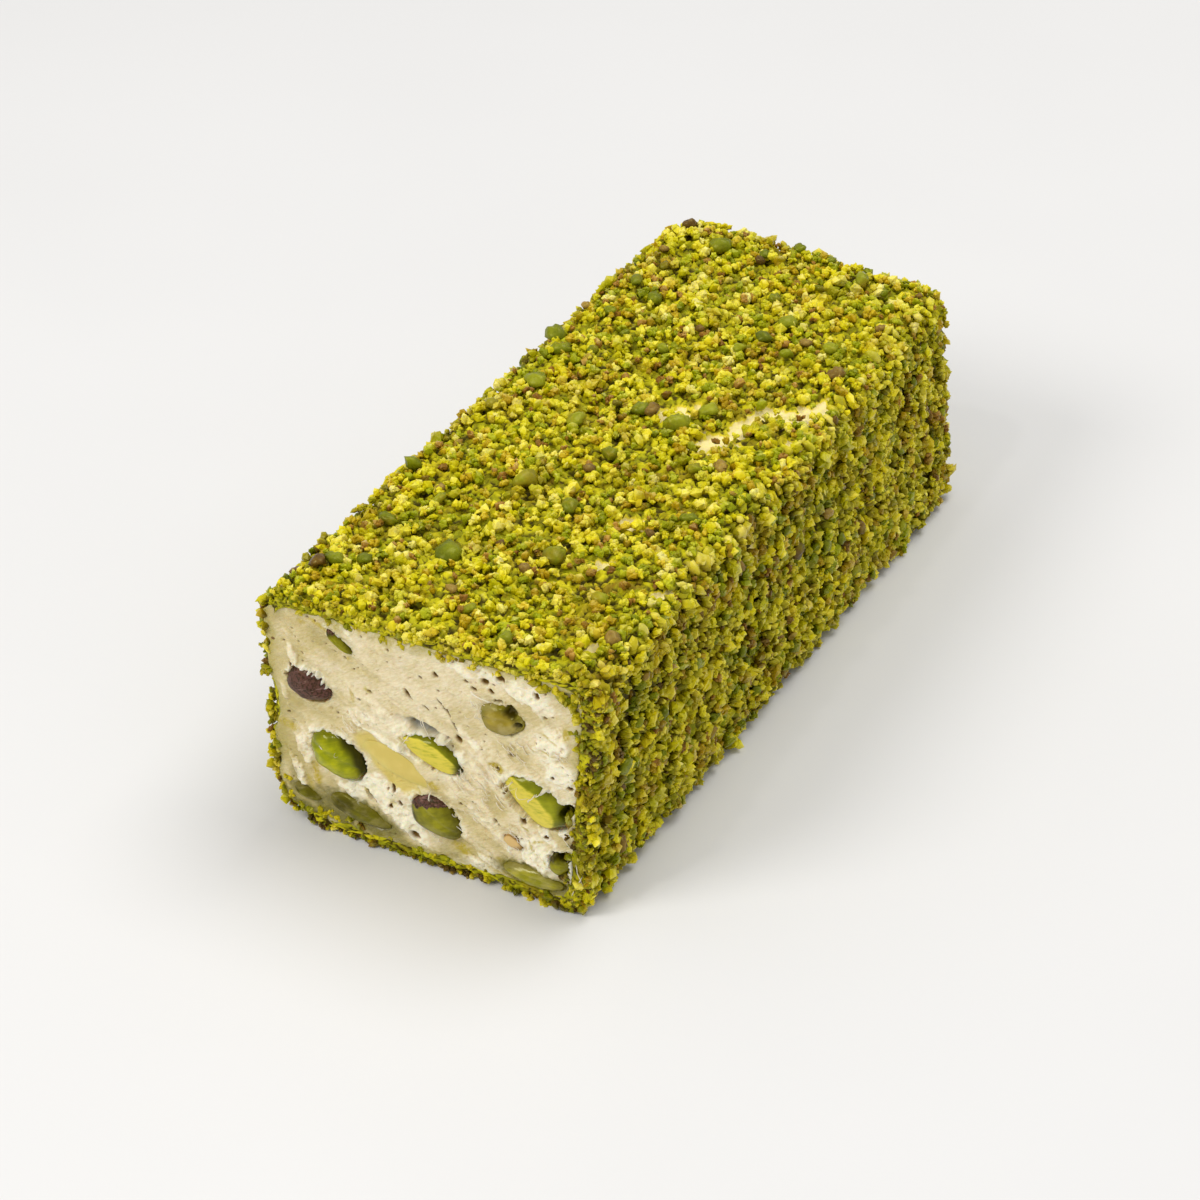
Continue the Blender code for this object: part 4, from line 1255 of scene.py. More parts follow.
def packed_crumbs(around, down, places, stretch, shingle):
    """How far the crust stands out of the bar's own surface, and what its points carry.

    Crumbs carry knobs half as wide. Their lattices are bent by ripples, so that no rows show.
    """
    bent_around = around + 0.45 * ripple(around, down, 1.7, 310) + 0.2 * ripple(around, down, 0.8, 311)
    bent_down = down + 0.45 * ripple(around, down, 1.7, 312) + 0.2 * ripple(around, down, 0.8, 313)
    crumb, crease, tint = lumps(bent_around / stretch, bent_down, CRUMB_PITCH, 314, shingle)
    knob, knob_crease, knob_tint = lumps(bent_around, bent_down, KNOB_PITCH, 315)
    thin = thinness(places)
    ridge = side_ridges(around, down) * (shingle > 0)
    swell = crust_swell(around, down) + 0.8 * RIDGE_HEIGHT * ridge
    height = CRUMB_HEIGHT * crumb * (0.25 + 0.75 * crease)
    height = height + KNOB_HEIGHT * knob * (0.25 + 0.75 * knob_crease)
    rise = CRUST_LEVEL + swell + height * (1 - 0.65 * thin) - 0.25 * thin
    # How far each point is out of the painted shade that darkens the creases, the low crumbs and the valleys.
    hollow = np.minimum(crease, 0.35 + 0.65 * knob_crease)
    hollow = hollow * smooth(crumb, 0.0, 0.55) * smooth(ridge, -0.8, 0.0)
    return rise, {"thin": thin, "tint": 0.7 * tint + 0.3 * knob_tint, "hollow": hollow}


def inner_of(points):
    """The crust's inner face: the bar's surface drawn in to just inside the nougat's box, side by side."""
    drawn = points.copy()
    into = INNER_OVERLAP
    width = (-BAR_WIDTH / 2, BAR_WIDTH / 2)
    drawn[..., 0] = np.interp(points[..., 0], width, (NOUGAT_LEFT + into, NOUGAT_RIGHT - into))
    drawn[..., 1] = np.interp(points[..., 1], (CUT, -CUT), (CUT + CUT_RECESS, NOUGAT_BACK - into))
    drawn[..., 2] = np.interp(points[..., 2], (0, BAR_HEIGHT), (NOUGAT_FOOT + into, NOUGAT_TOP - into))
    return pressed(drawn)


def make_slab(name, outer, inner, carried):
    """A slab: the outer grid's rows run to the cut and the inner grid's back again, both sides closed."""
    rows = np.concatenate((outer, inner))
    count, columns = rows.shape[:2]
    quads = grid_faces(columns, count, True)
    numbers = np.arange(count * columns).reshape(count, columns)
    by_column = numbers.T.ravel()
    sides = np.stack((numbers[:, 0], numbers[::-1, -1]))
    slab = make_piece(name, rows.reshape(-1, 3), by_column[quads], sides)
    hidden = {"thin": 0.0, "tint": 0.5, "hollow": 1.0}
    spare = np.ones(inner.shape[:2])
    mark(slab, **{key: np.concatenate((value, hidden[key] * spare)) for key, value in carried.items()})
    return slab


def make_side(name):
    """One of the four slabs along the bar, from most of the way round the back edge to the cut."""
    start, end, spacing, stretch, shingle, rim_swell, deepest = SLABS[name]
    columns = int((end - start + 2 * OVERLAP) / spacing)
    run = STRAIGHT_RUN + PAST_BACK * BACK_TURN
    around = np.linspace(start - OVERLAP, end + OVERLAP, columns)[None, :]
    down = np.linspace(run, CUT_RECESS, int(run / spacing))[:, None]
    around, down = np.broadcast_arrays(around, down)
    outer = pressed(skin(around, down))
    rise, carried = packed_crumbs(around, down, outer, stretch, shingle)
    rise = np.maximum(rise, deepest)
    outer = outer + outward_of(around, down) * rise[..., None]
    outer[..., 2] = np.maximum(outer[..., 2], SLAB_FOOT)
    inner = inner_of(skin(around[:INNER_ROWS], np.linspace(0.0, run, INNER_ROWS)[:, None]))
    share = np.linspace(0, 1, RIM_ROWS + 2)[1:-1, None]
    rim = outer[-1] + (inner[0] - outer[-1]) * share[..., None]
    pattern = RIM_PATTERN + RIM_THICKNESS * share
    swell, rim_carried = packed_crumbs(around[:RIM_ROWS], pattern, rim, 1.0, 0.0)
    rim[..., 1] -= rim_swell * (swell - CRUST_LEVEL) * np.sin(math.pi * share) ** 0.5
    outer = np.concatenate((outer, rim))
    carried = {key: np.concatenate((value, rim_carried[key])) for key, value in carried.items()}
    return make_slab(name, outer, inner, carried)


def make_back():
    """The back's slab: a grid across and up, bent forward by r (1 - root of 1 - b^2), b = 1 at the rim."""
    half = BAR_WIDTH / 2
    across = np.linspace(-half + BACK_MARGIN, half - BACK_MARGIN, int(BAR_WIDTH / BACK_SPACING))
    up = np.linspace(BACK_MARGIN, BAR_HEIGHT - BACK_MARGIN, int(BAR_HEIGHT / BACK_SPACING))
    across, up = np.broadcast_arrays(across[None, :], up[:, None])
    rim = np.minimum(half - np.abs(across), np.minimum(up, BAR_HEIGHT - up))
    bend = np.clip(1 - rim / BACK_ROUNDING, 0, 1)
    sunk = BACK_ROUNDING * (1 - np.sqrt(1 - bend**2)) + BACK_DRAWN_IN * smooth(bend, 0.0, 0.6)
    flat = pressed(np.stack((across, BAR_LENGTH / 2 - sunk, up), -1))
    rise, carried = packed_crumbs(across + BACK_PATTERN, up, flat, 1.0, 0.0)
    outer = flat + rise[..., None] * np.array([0.0, 1.0, 0.0])
    inner = np.stack((across, np.full(across.shape, BAR_LENGTH / 2), up), -1)[:: -len(up) // 4]
    return make_slab("coat_back", outer, inner_of(inner), carried)


# The imported crumbs' tints, the painted shade between them, and the nougat that shows where they are thin.
BROWNER = (0.30, 0.175, 0.008)
GREENER = (0.25, 0.28, 0.003)
CRUST_STOPS = (
    (0.00, (0.14, 0.08, 0.006)), (0.14, (0.24, 0.18, 0.003)), (0.30, (0.28, 0.28, 0.003)),
    (0.52, (0.50, 0.455, 0.004)), (0.78, (0.72, 0.64, 0.015)), (1.00, (0.92, 0.83, 0.20)),
)
PAINTED_CREASE_SHADE = (0.045, 0.03, 0.0005)
THIN_EDGE = (0.74, 0.62, 0.03)
THIN_MIDDLE = (0.90, 0.78, 0.36)


def hue_patches(wire, colour):
    """Browner and greener patches a few millimetres across, alike on the crust and on its crumbs."""
    colour = (wire.cloud(5.5, 3.0).between(0.50, 0.68) * 0.5).mixed(colour, BROWNER)
    greener = wire.cloud(4.5, 3.0, wire.places((1.0, -1.0, 1.0))).between(0.52, 0.68) * 0.45
    return greener.mixed(colour, GREENER)


def crust_finish(wire):
    """Each packed crumb's own tint, drifting over the bar, with painted shade in the creases."""
    mottle = wire.cloud(0.4, 3.0)
    drift = wire.cloud(9.0, 2.0)
    tint = wire.reads("tint") * 0.8 + mottle * 0.25 + drift * 0.5 - 0.30
    crumb = hue_patches(wire, wire.node("ValToRGB", {"stops": CRUST_STOPS}, {"Fac": tint}))
    hollow = (wire.reads("hollow") + mottle * 0.3 - 0.1).between(0.05, 0.65)
    packed = hollow.mixed(PAINTED_CREASE_SHADE, crumb)
    thin = wire.reads("thin") + mottle * 0.6 - 0.3
    colour = thin.between(0.10, 0.40).mixed(packed, THIN_EDGE)
    colour = thin.between(0.45, 0.80).mixed(colour, THIN_MIDDLE)
    bump = wire.node("Bump", {}, {"Strength": 0.5, "Distance": 0.15 * MM, "Height": mottle})
    return {"Base Color": colour, "Roughness": 0.42 + mottle * 0.3, "Normal": bump}


OILY = {
    "Subsurface Weight": 0.35,
    "Subsurface Radius": (1.0, 0.9, 0.05),
    "Subsurface Scale": 0.45 * MM,
    "Specular IOR Level": 0.32,
    "Specular Tint": (1.0, 0.94, 0.35, 1.0),
}
crust = make_finish("ground pistachio", OILY, crust_finish)
for slab in [make_side(name) for name in SLABS] + [make_back()]:
    slab.data.materials.append(crust)
    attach(slab, "root")
    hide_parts("pistachio_coat")


# ----------------------------------------------------------------------------------------------------------
# The crumbs: pistachio chopped by hand, so no two are alike. Those on top of the crust are stuck on by a side
# only, each a knobbly lump of broken kernel, with bits of brown skin and smooth chunks among them.

PLASTIC_NUMBER = 1.3247179572
KNOBS_EACH = 5
# Each kind of knobbly crumb: how many, smallest and largest half width, and its tints from dark to light.
KNOBBLY_CRUMBS = {
    "yellow_crumbs": (
        2000, 0.50, 1.10,
        ((0.0, (0.54, 0.44, 0.004)), (0.5, (0.80, 0.68, 0.016)), (1.0, (0.93, 0.83, 0.26))),
    ),
    "fresh_crumbs": (
        2480, 0.48, 1.05,
        ((0.0, (0.35, 0.32, 0.002)), (0.5, (0.67, 0.59, 0.005)), (1.0, (0.90, 0.80, 0.08))),
    ),
    "green_crumbs": (
        1800, 0.46, 0.98,
        ((0.0, (0.10, 0.12, 0.002)), (0.5, (0.29, 0.32, 0.003)), (1.0, (0.60, 0.59, 0.02))),
    ),
    "olive_crumbs": (
        1700, 0.44, 0.92,
        ((0.0, (0.16, 0.09, 0.003)), (0.5, (0.50, 0.34, 0.006)), (1.0, (0.84, 0.66, 0.05))),
    ),
    "brown_crumbs": (
        800, 0.40, 0.84,
        ((0.0, (0.08, 0.036, 0.008)), (0.5, (0.28, 0.13, 0.018)), (1.0, (0.60, 0.36, 0.07))),
    ),
}
# A crumb's knobs: how far from its middle and how wide, in shares of its half width, and how uneven.
# The first knob lies nearer by its share, and all are pulled in along the way out.
KNOB_DISTANCE = (0.40, 0.78)
KNOB_WIDTH = (0.42, 0.68)
KNOB_SHAPE = (0.65, 1.45)
FIRST_KNOB = 0.2
FLATTENED = 0.35
# The form of a lump: how uneven it is, how far it leans, and how many rings and sides its ball has.
KNOB_FORM = (0.30, 0.6, 2, 4)
# On the two long sides the knobs lie further apart upright, each is longer too, and painted shade darkens
# them.
SIDE_SPREAD = (1.0, 0.7, 1.35)
SIDE_STRETCH = 1.5
SIDE_SHADE = 0.64
# How far the highest crumbs stand, how deep the lowest lie on the two long sides and elsewhere, and how much
# painted shade darkens a crumb for each millimetre that it lies deeper. Small and high crumbs are the more
# common ones.
CRUMB_RISE = 0.15
CRUMB_DEPTHS = (1.1, 0.65)
DEPTH_SHADE = 0.55
SMALL_BIAS = 1.4
HIGH_BIAS = 1.5
# Fewer lie on the hidden underside. More spots are tried than are kept, and none strays past the bar's ends.
UNDERSIDE_FACING = -0.5
UNDERSIDE_SHARE = 0.15
SPARE_SPOTS = 2.9
STRAY = 0.6
END_MARGIN = 0.2
# Where the thin coat of the left side meets the cut, no crumb lies deep.
RIM_MARGIN = 1.5


def even_spread(first, count):
    """Places over a unit square without clumps: steps of 1 / p and 1 / p^2, p being the plastic number."""
    steps = np.arange(first, first + count)[:, None] * np.array([1 / PLASTIC_NUMBER, 1 / PLASTIC_NUMBER**2])
    return (0.5 + steps) % 1.0


def crumb_spots(first, count, draw, seed):
    """Places for crumbs all over the coat, the way out there, and how far round it and down it they lie.

    On the back the ring at each distance is shorter towards the middle, so the spread thins as it does.
    Crumbs of a kind lie together: two ripples of its own seed give the chance that a place is kept.
    """
    spread = even_spread(first, int(count * SPARE_SPOTS))
    around = spread[:, 0] * GIRTH + draw.normal(0, STRAY, len(spread))
    run = np.linspace(0, WHOLE_RUN, 400)
    share_left = 1 - np.clip((run - STRAIGHT_RUN - BACK_TURN) / BACK_REACH, 0, 1)
    weight = np.cumsum(share_left)
    down = np.interp(spread[:, 1], weight / weight[-1], run) + draw.normal(0, STRAY, len(spread))
    down = np.clip(down, END_MARGIN, WHOLE_RUN - END_MARGIN)
    places = pressed(skin(around, down))
    outward = outward_of(around, down)
    shown = (outward[:, 2] > UNDERSIDE_FACING) | (draw.uniform(size=len(spread)) < UNDERSIDE_SHARE)
    shown &= thinness(places) < draw.uniform(0.10, 1.10, len(spread))
    likely = 0.5 + 0.45 * ripple(around, down, 4.2, seed) + 0.25 * ripple(around, down, 1.9, seed + 50)
    shown &= draw.uniform(size=len(spread)) < np.maximum(likely, 0.1)
    return places[shown][:count], outward[shown][:count], around[shown][:count], down[shown][:count]


def ball(rings, sides):
    """A unit ball's points and faces: a grid in the angle from pole to pole and the turn round, and poles."""
    angle = np.linspace(0, math.pi, rings + 2)[1:-1, None]
    around = np.linspace(0, math.tau, sides, endpoint=False) + 0.5 * np.arange(rings)[:, None]
    upright = np.cos(angle) + 0 * around
    points = np.stack((np.sin(angle) * np.cos(around), np.sin(angle) * np.sin(around), upright), -1)
    points = np.concatenate((points.reshape(-1, 3), [(0.0, 0.0, 1.0), (0.0, 0.0, -1.0)]))
    quads, near, far = closed_faces(rings, sides)
    return points, quads[:, ::-1], np.concatenate((near, far))[:, [0, 2, 1]]


def random_shapes(draw, limits, count):
    """A random stretch between two limits along each of a lump's three axes."""
    return np.stack([draw.uniform(*limit, count) for limit in limits], -1)


def make_crumbs(
    name, places, outward, stretches, form, tints, draw, grain=None, root=None, facing=None, facets=False
):
    """Many closed lumps in one mesh.

    Each is a ball whose points are pushed in or out at random, stretched along its own three axes, turned so
    that the third of them leans off the outward direction and the second follows the grain, and moved to its
    place. Its points carry its tint and how far out of its root they stand, 0.5 being level with the root.
    """
    unevenness, lean, rings, sides = form
    count = len(places)
    unit, quads, triangles = ball(rings, sides)
    uneven = draw.uniform(1 - unevenness, 1 + unevenness, (count, len(unit), 1))
    points = unit[None] * uneven * stretches[:, None, :]
    third = (outward if facing is None else facing) + lean * draw.normal(size=(count, 3))
    third /= np.linalg.norm(third, axis=1, keepdims=True)
    first = np.cross(third, draw.normal(size=(count, 3)) if grain is None else np.cross(grain, third))
    first /= np.linalg.norm(first, axis=1, keepdims=True)
    axes = np.stack((first, np.cross(third, first), third), 1)
    points = np.einsum("nki,nij->nkj", points, axes) + places[:, None]
    bases, reach = root or (places, stretches.max(axis=1))
    tips = 0.5 + 0.5 * np.einsum("nki,ni->nk", points - bases[:, None], outward) / reach[:, None]
    points[..., 2] = np.maximum(points[..., 2], 0.0)
    offsets = np.arange(count)[:, None, None] * len(unit)
    faces = ((quads[None] + offsets).reshape(-1, 4), (triangles[None] + offsets).reshape(-1, 3))
    crumbs = make_piece(name, points.reshape(-1, 3), *faces, facets=facets)
    mark(crumbs, tint=np.repeat(tints, len(unit)), tip=tips)
    return crumbs


def make_knobbly_crumbs(name, places, outward, sizes, draw, shade_and_tone):
    """Crumbs of several knobs each: one near the middle, the others about it, flattened along the way out.

    On the two long sides they are drawn out upright and get painted shade. Each is darker by its own shade
    and tone.
    """
    count = len(places)
    about = draw.normal(size=(count, KNOBS_EACH, 3))
    about /= np.linalg.norm(about, axis=2, keepdims=True)
    about *= draw.uniform(*KNOB_DISTANCE, (count, KNOBS_EACH, 1))
    about[:, 0] *= FIRST_KNOB
    standing = np.einsum("nki,ni->nk", about, outward)[..., None] * outward[:, None]
    spread_out = np.where(np.abs(outward[:, :1]) > FACING, SIDE_SPREAD, 1.0)
    knobs = places[:, None] + (about - FLATTENED * standing) * spread_out[:, None] * sizes[:, None, None]
    widths = sizes[:, None] * draw.uniform(*KNOB_WIDTH, (count, KNOBS_EACH))
    stretches = widths.reshape(-1, 1) * draw.uniform(*KNOB_SHAPE, (count * KNOBS_EACH, 3))
    tints = np.repeat(draw.uniform(0, 1, count), KNOBS_EACH) * 0.85
    tints = tints + 0.15 * draw.uniform(0, 1, count * KNOBS_EACH)
    directions = np.repeat(outward, KNOBS_EACH, axis=0)
    on_side = np.abs(directions[:, :1]) > FACING
    stretches[:, 1:2] *= np.where(on_side, SIDE_STRETCH, 1.0)
    tints = tints - np.where(on_side[:, 0], SIDE_SHADE, 0.0) - np.repeat(shade_and_tone, KNOBS_EACH)
    grain = draw.normal(size=(count * KNOBS_EACH, 3)) * np.where(on_side, 0.3, 1.0)
    grain = grain + on_side * (0.0, 0.0, 1.0)
    root = (np.repeat(places, KNOBS_EACH, axis=0), np.repeat(sizes, KNOBS_EACH))
    knobs = knobs.reshape(-1, 3)
    return make_crumbs(name, knobs, directions, stretches, KNOB_FORM, tints, draw, grain, root, facets=True)


def stick_on(crumbs, finish):
    """Crumbs of this finish, held on the bar by the crust: more of its chopped pistachio."""
    crumbs.data.materials.append(finish)
    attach(crumbs, "root")


# Painted shade at each crumb's root, and a painted highlight at its tips.
ROOT_SHADE = (0.075, 0.055, 0.001)
TIP_HIGHLIGHT = (0.97, 0.88, 0.30)


def crumb_finish(stops, tip_highlighting=0.3, highlight_colour=TIP_HIGHLIGHT, root_shading=0.75):
    """Each crumb's own tint, mottled and drifting over the bar: painted shade at its root, painted highlight
    at its tips.
    """

    def build(wire):
        mottle = wire.cloud(0.45, 3.0)
        drift = wire.cloud(4.5, 3.0)
        tip = wire.reads("tip")
        # The tint rises towards the tips too: painted light.
        tint = wire.reads("tint") * 0.5 + mottle * 0.4 + drift * 1.1 + tip * 0.35 - 0.63
        colour = wire.node("ValToRGB", {"stops": stops}, {"Fac": tint})
        colour = hue_patches(wire, colour)
        colour = ((1.0 - tip).between(0.45, 1.0) * root_shading).mixed(colour, ROOT_SHADE)
        colour = ((tip + mottle * 0.5).between(1.05, 1.40) * tip_highlighting).mixed(colour, highlight_colour)
        bump = wire.node("Bump", {}, {"Strength": 0.4, "Distance": 0.12 * MM, "Height": mottle})
        return {"Base Color": colour, "Roughness": 0.14 + mottle * 0.32, "Normal": bump}

    return build


spread_so_far = 0
for number, (name, (count, smallest, largest, stops)) in enumerate(KNOBBLY_CRUMBS.items()):
    draw = np.random.default_rng(400 + number)
    places, outward, around, down = crumb_spots(spread_so_far, count, draw, 330 + number)
    spread_so_far += int(count * SPARE_SPOTS)
    sizes = smallest + (largest - smallest) * draw.uniform(0, 1, len(places)) ** SMALL_BIAS
    sideways = np.abs(outward[:, 0]) > FACING
    deepest = np.where(sideways, *CRUMB_DEPTHS)
    ridge = side_ridges(around, down) * sideways
    depth = deepest * draw.uniform(0, 1, len(places)) ** HIGH_BIAS - RIDGE_HEIGHT * ridge
    left_rim = (outward[:, 0] < -FACING) & (down < RIM_MARGIN)
    depth = np.where(left_rim, np.minimum(depth, 0.0), depth)
    level = crust_swell(around, down) + CRUMB_RISE - depth
    places = places + outward * level[:, None]
    crumbs = make_knobbly_crumbs(name, places, outward, sizes, draw, DEPTH_SHADE * depth)
    stick_on(crumbs, make_finish(name.replace("_", " "), OILY, crumb_finish(stops)))

# The smooth chunks, green or brown: pixel across and down, half width in millimetres. More lie all over.
CHUNK_SPOTS = {
    "green_chunks": (
        (526, 481, 1.9), (414, 465, 1.5), (555, 557, 1.8), (536, 382, 1.6), (561, 350, 1.4), (548, 333, 1.8),
        (678, 425, 2.2), (709, 412, 1.5), (576, 422, 1.4), (570, 507, 1.3), (449, 554, 2.0), (720, 248, 1.8),
        (862, 282, 1.5), (640, 410, 1.4), (335, 560, 1.4), (492, 405, 1.2), (470, 610, 1.1), (600, 600, 1.2),
        (388, 520, 1.3), (775, 300, 1.2), (655, 300, 1.3), (830, 350, 1.2), (440, 500, 1.1), (690, 520, 1.2),
        (505, 640, 1.1), (740, 350, 1.1), (610, 455, 1.2), (365, 560, 1.1), (800, 250, 1.1), (695, 470, 1.0),
    ),
    "brown_chunks": (
        (835, 376, 1.4), (652, 411, 1.5), (721, 468, 1.3), (690, 226, 1.2), (318, 562, 1.3), (617, 405, 0.9),
        (613, 640, 1.1), (452, 590, 0.9), (760, 262, 0.9), (500, 545, 0.8), (590, 470, 0.9), (664, 250, 0.8),
        (880, 330, 0.9), (440, 490, 0.9), (525, 570, 0.9), (650, 535, 0.9), (700, 330, 0.8), (560, 300, 0.8),
    ),
}
CHUNK_STOPS = {
    "green_chunks": ((0.0, (0.06, 0.075, 0.003)), (0.5, (0.16, 0.185, 0.006)), (1.0, (0.36, 0.37, 0.015))),
    "brown_chunks": ((0.0, (0.05, 0.028, 0.008)), (0.5, (0.15, 0.082, 0.018)), (1.0, (0.38, 0.25, 0.05))),
}
# How many more of each are tried, their half widths, and how thin a chunk is along each of its axes. They are
# kept where the named ones are not: off the top or far from the camera, and clear of the cut.
SPREAD_CHUNKS = {"green_chunks": 110, "brown_chunks": 36}
SPREAD_SIZES = (0.6, 1.3)
CHUNK_SHAPE = ((0.9, 1.2), (0.7, 0.95), (0.5, 0.7))
CHUNK_FORM = (0.22, 0.25, 5, 10)
HIDDEN_BEYOND = -6.0
CHUNK_MARGIN = 1.6
CHUNK_CLEARANCE = 3.0
CHUNK_RISE = 0.25
NAMED_SCALE = 0.95
UP = np.array([0.0, 0.0, 1.0])
for number, (name, spots) in enumerate(CHUNK_SPOTS.items()):
    draw = np.random.default_rng(450 + number)
    named = np.array(spots)
    named_places = on_face(named[:, :2], 2, BAR_HEIGHT)
    on_middle = named_places * (0.0, 1.0, 0.0) + BAR_HEIGHT * UP
    left_edge = pressed(on_middle + (CHUNK_MARGIN - BAR_WIDTH / 2, 0.0, 0.0))[:, 0]
    right_edge = pressed(on_middle + (BAR_WIDTH / 2 - CHUNK_MARGIN, 0.0, 0.0))[:, 0]
    named_places[:, 0] = np.clip(named_places[:, 0], left_edge, right_edge)
    spread_places, spread_outward, _, _ = crumb_spots(spread_so_far, SPREAD_CHUNKS[name], draw, 340 + number)
    spread_so_far += int(SPREAD_CHUNKS[name] * SPARE_SPOTS)
    hidden = spread_places @ forward > HIDDEN_BEYOND
    unseen = ((spread_outward[:, 2] < FACING) | hidden) & (spread_places[:, 1] > CUT + CHUNK_CLEARANCE)
    places = np.concatenate((named_places, spread_places[unseen]))
    outward = np.concatenate((np.tile(UP, (len(named), 1)), spread_outward[unseen]))
    sizes = np.concatenate((named[:, 2] * NAMED_SCALE, draw.uniform(*SPREAD_SIZES, unseen.sum())))
    stretches = sizes[:, None] * random_shapes(draw, CHUNK_SHAPE, len(sizes))
    places = places + outward * CHUNK_RISE
    tints = draw.uniform(0, 1, len(sizes))
    chunks = make_crumbs(name, places, outward, stretches, CHUNK_FORM, tints, draw)
    stick_on(chunks, make_finish(name.replace("_", " "), OILY, crumb_finish(CHUNK_STOPS[name], tip_highlighting=0.1)))

# Flakes: thin chips of kernel that stand edge-on down the two long sides, like shingles, where the ridges are
# high enough, and pale ones that lean over the right top edge. How many, half width, and how thin along each
# of their axes.
SIDE_FLAKES = 5000
FLAKED_FROM = -0.1
SIDE_FLAKE_SIZES = (0.42, 0.90)
EDGE_FLAKES = 44
EDGE_FLAKE_SIZES = (0.6, 1.3)
EDGE_REACH = (-2.5, 2.0)
FLAKE_SHAPE = ((0.5, 0.9), (0.8, 1.4), (0.3, 0.6))
SIDE_FLAKE_FORM = (0.26, 0.35, 2, 5)
EDGE_FLAKE_FORM = (0.36, 0.4, 3, 6)
# A side flake stands on its ridge by a share of the ridge's height, less its sinking, give or take.
FLAKE_STAND = 1.3
FLAKE_SUNK = 0.25
FLAKE_STRAY = 0.18
FLAKE_STOPS = (
    (0.00, (0.06, 0.036, 0.001)), (0.35, (0.17, 0.145, 0.002)),
    (0.70, (0.38, 0.33, 0.004)), (1.00, (0.72, 0.62, 0.05)),
)
# The painted highlight at the flakes' tips.
FLAKE_TIP_HIGHLIGHT = (0.74, 0.65, 0.05)
EDGE_STOPS = ((0.0, (0.38, 0.33, 0.006)), (0.5, (0.66, 0.56, 0.03)), (1.0, (0.90, 0.78, 0.22)))


def flake_spots(draw, count, start, end, lowest):
    """Places between two lines round the bar where its ridges are this high, the way out and the ridge."""
    around = draw.uniform(start, end, 4 * count)
    down = draw.uniform(0.5, STRAIGHT_RUN, 4 * count)
    ridge = side_ridges(around, down)
    kept = np.flatnonzero(ridge > lowest)[:count]
    around, down, ridge = around[kept], down[kept], ridge[kept]
    return pressed(skin(around, down)), outward_of(around, down), ridge


draw = np.random.default_rng(460)
runs = ((RIGHT_FOOT, RIGHT_TOP), (GIRTH - RIGHT_TOP, GIRTH - RIGHT_FOOT))
spots = [flake_spots(draw, SIDE_FLAKES // 2, start, end, FLAKED_FROM) for start, end in runs]
places, outward, ridge = (np.concatenate(both) for both in zip(*spots))
stretches = draw.uniform(*SIDE_FLAKE_SIZES, (len(places), 1)) * random_shapes(draw, FLAKE_SHAPE, len(places))
upright = UP + 0.25 * draw.normal(size=(len(places), 3))
leaning = 0.55 * outward + np.array([0.0, -0.85, 0.2])
stand = FLAKE_STAND * RIDGE_HEIGHT * ridge - FLAKE_SUNK + draw.normal(0, FLAKE_STRAY, len(places))
# Flakes that stand higher are lighter: painted light on the ridges, painted shade in the valleys.
tints = draw.uniform(0, 1, len(places)) + 0.35 * (stand - 0.3)
places = places + outward * stand[:, None]
flakes = make_crumbs(
    "side_flakes", places, outward, stretches, SIDE_FLAKE_FORM, tints, draw,
    grain=upright, root=(places, stretches[:, 0]), facing=leaning, facets=True,
)
flaked = crumb_finish(FLAKE_STOPS, tip_highlighting=0.7, highlight_colour=FLAKE_TIP_HIGHLIGHT, root_shading=0.95)
stick_on(flakes, make_finish("flaked pistachio", OILY, flaked))

edge = RIGHT_TOP + np.array(EDGE_REACH)
places, outward, _ = flake_spots(draw, EDGE_FLAKES, *edge, lowest=-1)
stretches = draw.uniform(*EDGE_FLAKE_SIZES, (len(places), 1)) * random_shapes(draw, FLAKE_SHAPE, len(places))
along = np.array([0.3, 1.0, 0.3]) + 0.5 * draw.normal(size=(len(places), 3))
tints = draw.uniform(0, 1, len(places))
facing = outward + (0.6, -0.3, 0.2)
flakes = make_crumbs(
    "edge_flakes", places, outward, stretches, EDGE_FLAKE_FORM, tints, draw, along, facing=facing
)
stick_on(flakes, make_finish("pale flaked pistachio", OILY, crumb_finish(EDGE_STOPS)))

# The fringe: crumbs on the rim of the cut, between the nougat and the bar's outside, and hanging over it.
FRINGE_COUNT = 1300
# On each face: how deep they lie below the bar's surface, and how much painted shade darkens them.
FRINGE = {"right": (3.3, 0.62), "top": (2.6, 0.05), "left": (0.35, 0.2), "foot": (1.3, 0.75)}
# Round the right top edge they lie this much deeper, over this width. At the left end of the top, where the
# coat is thin, they lie no deeper than this.
FRINGE_CORNER = 1.4
CORNER_WIDTH = 3.0
THIN_END = -17.5
THIN_END_DEPTH = 1.2
# Their half widths, with a few larger, and how far they stand before and behind the cut.
FRINGE_SIZES = (0.30, 0.55)
LARGER_BY = 0.45
FRINGE_STAND = (-0.2, 0.7)
FRINGE_FOOT = 0.4
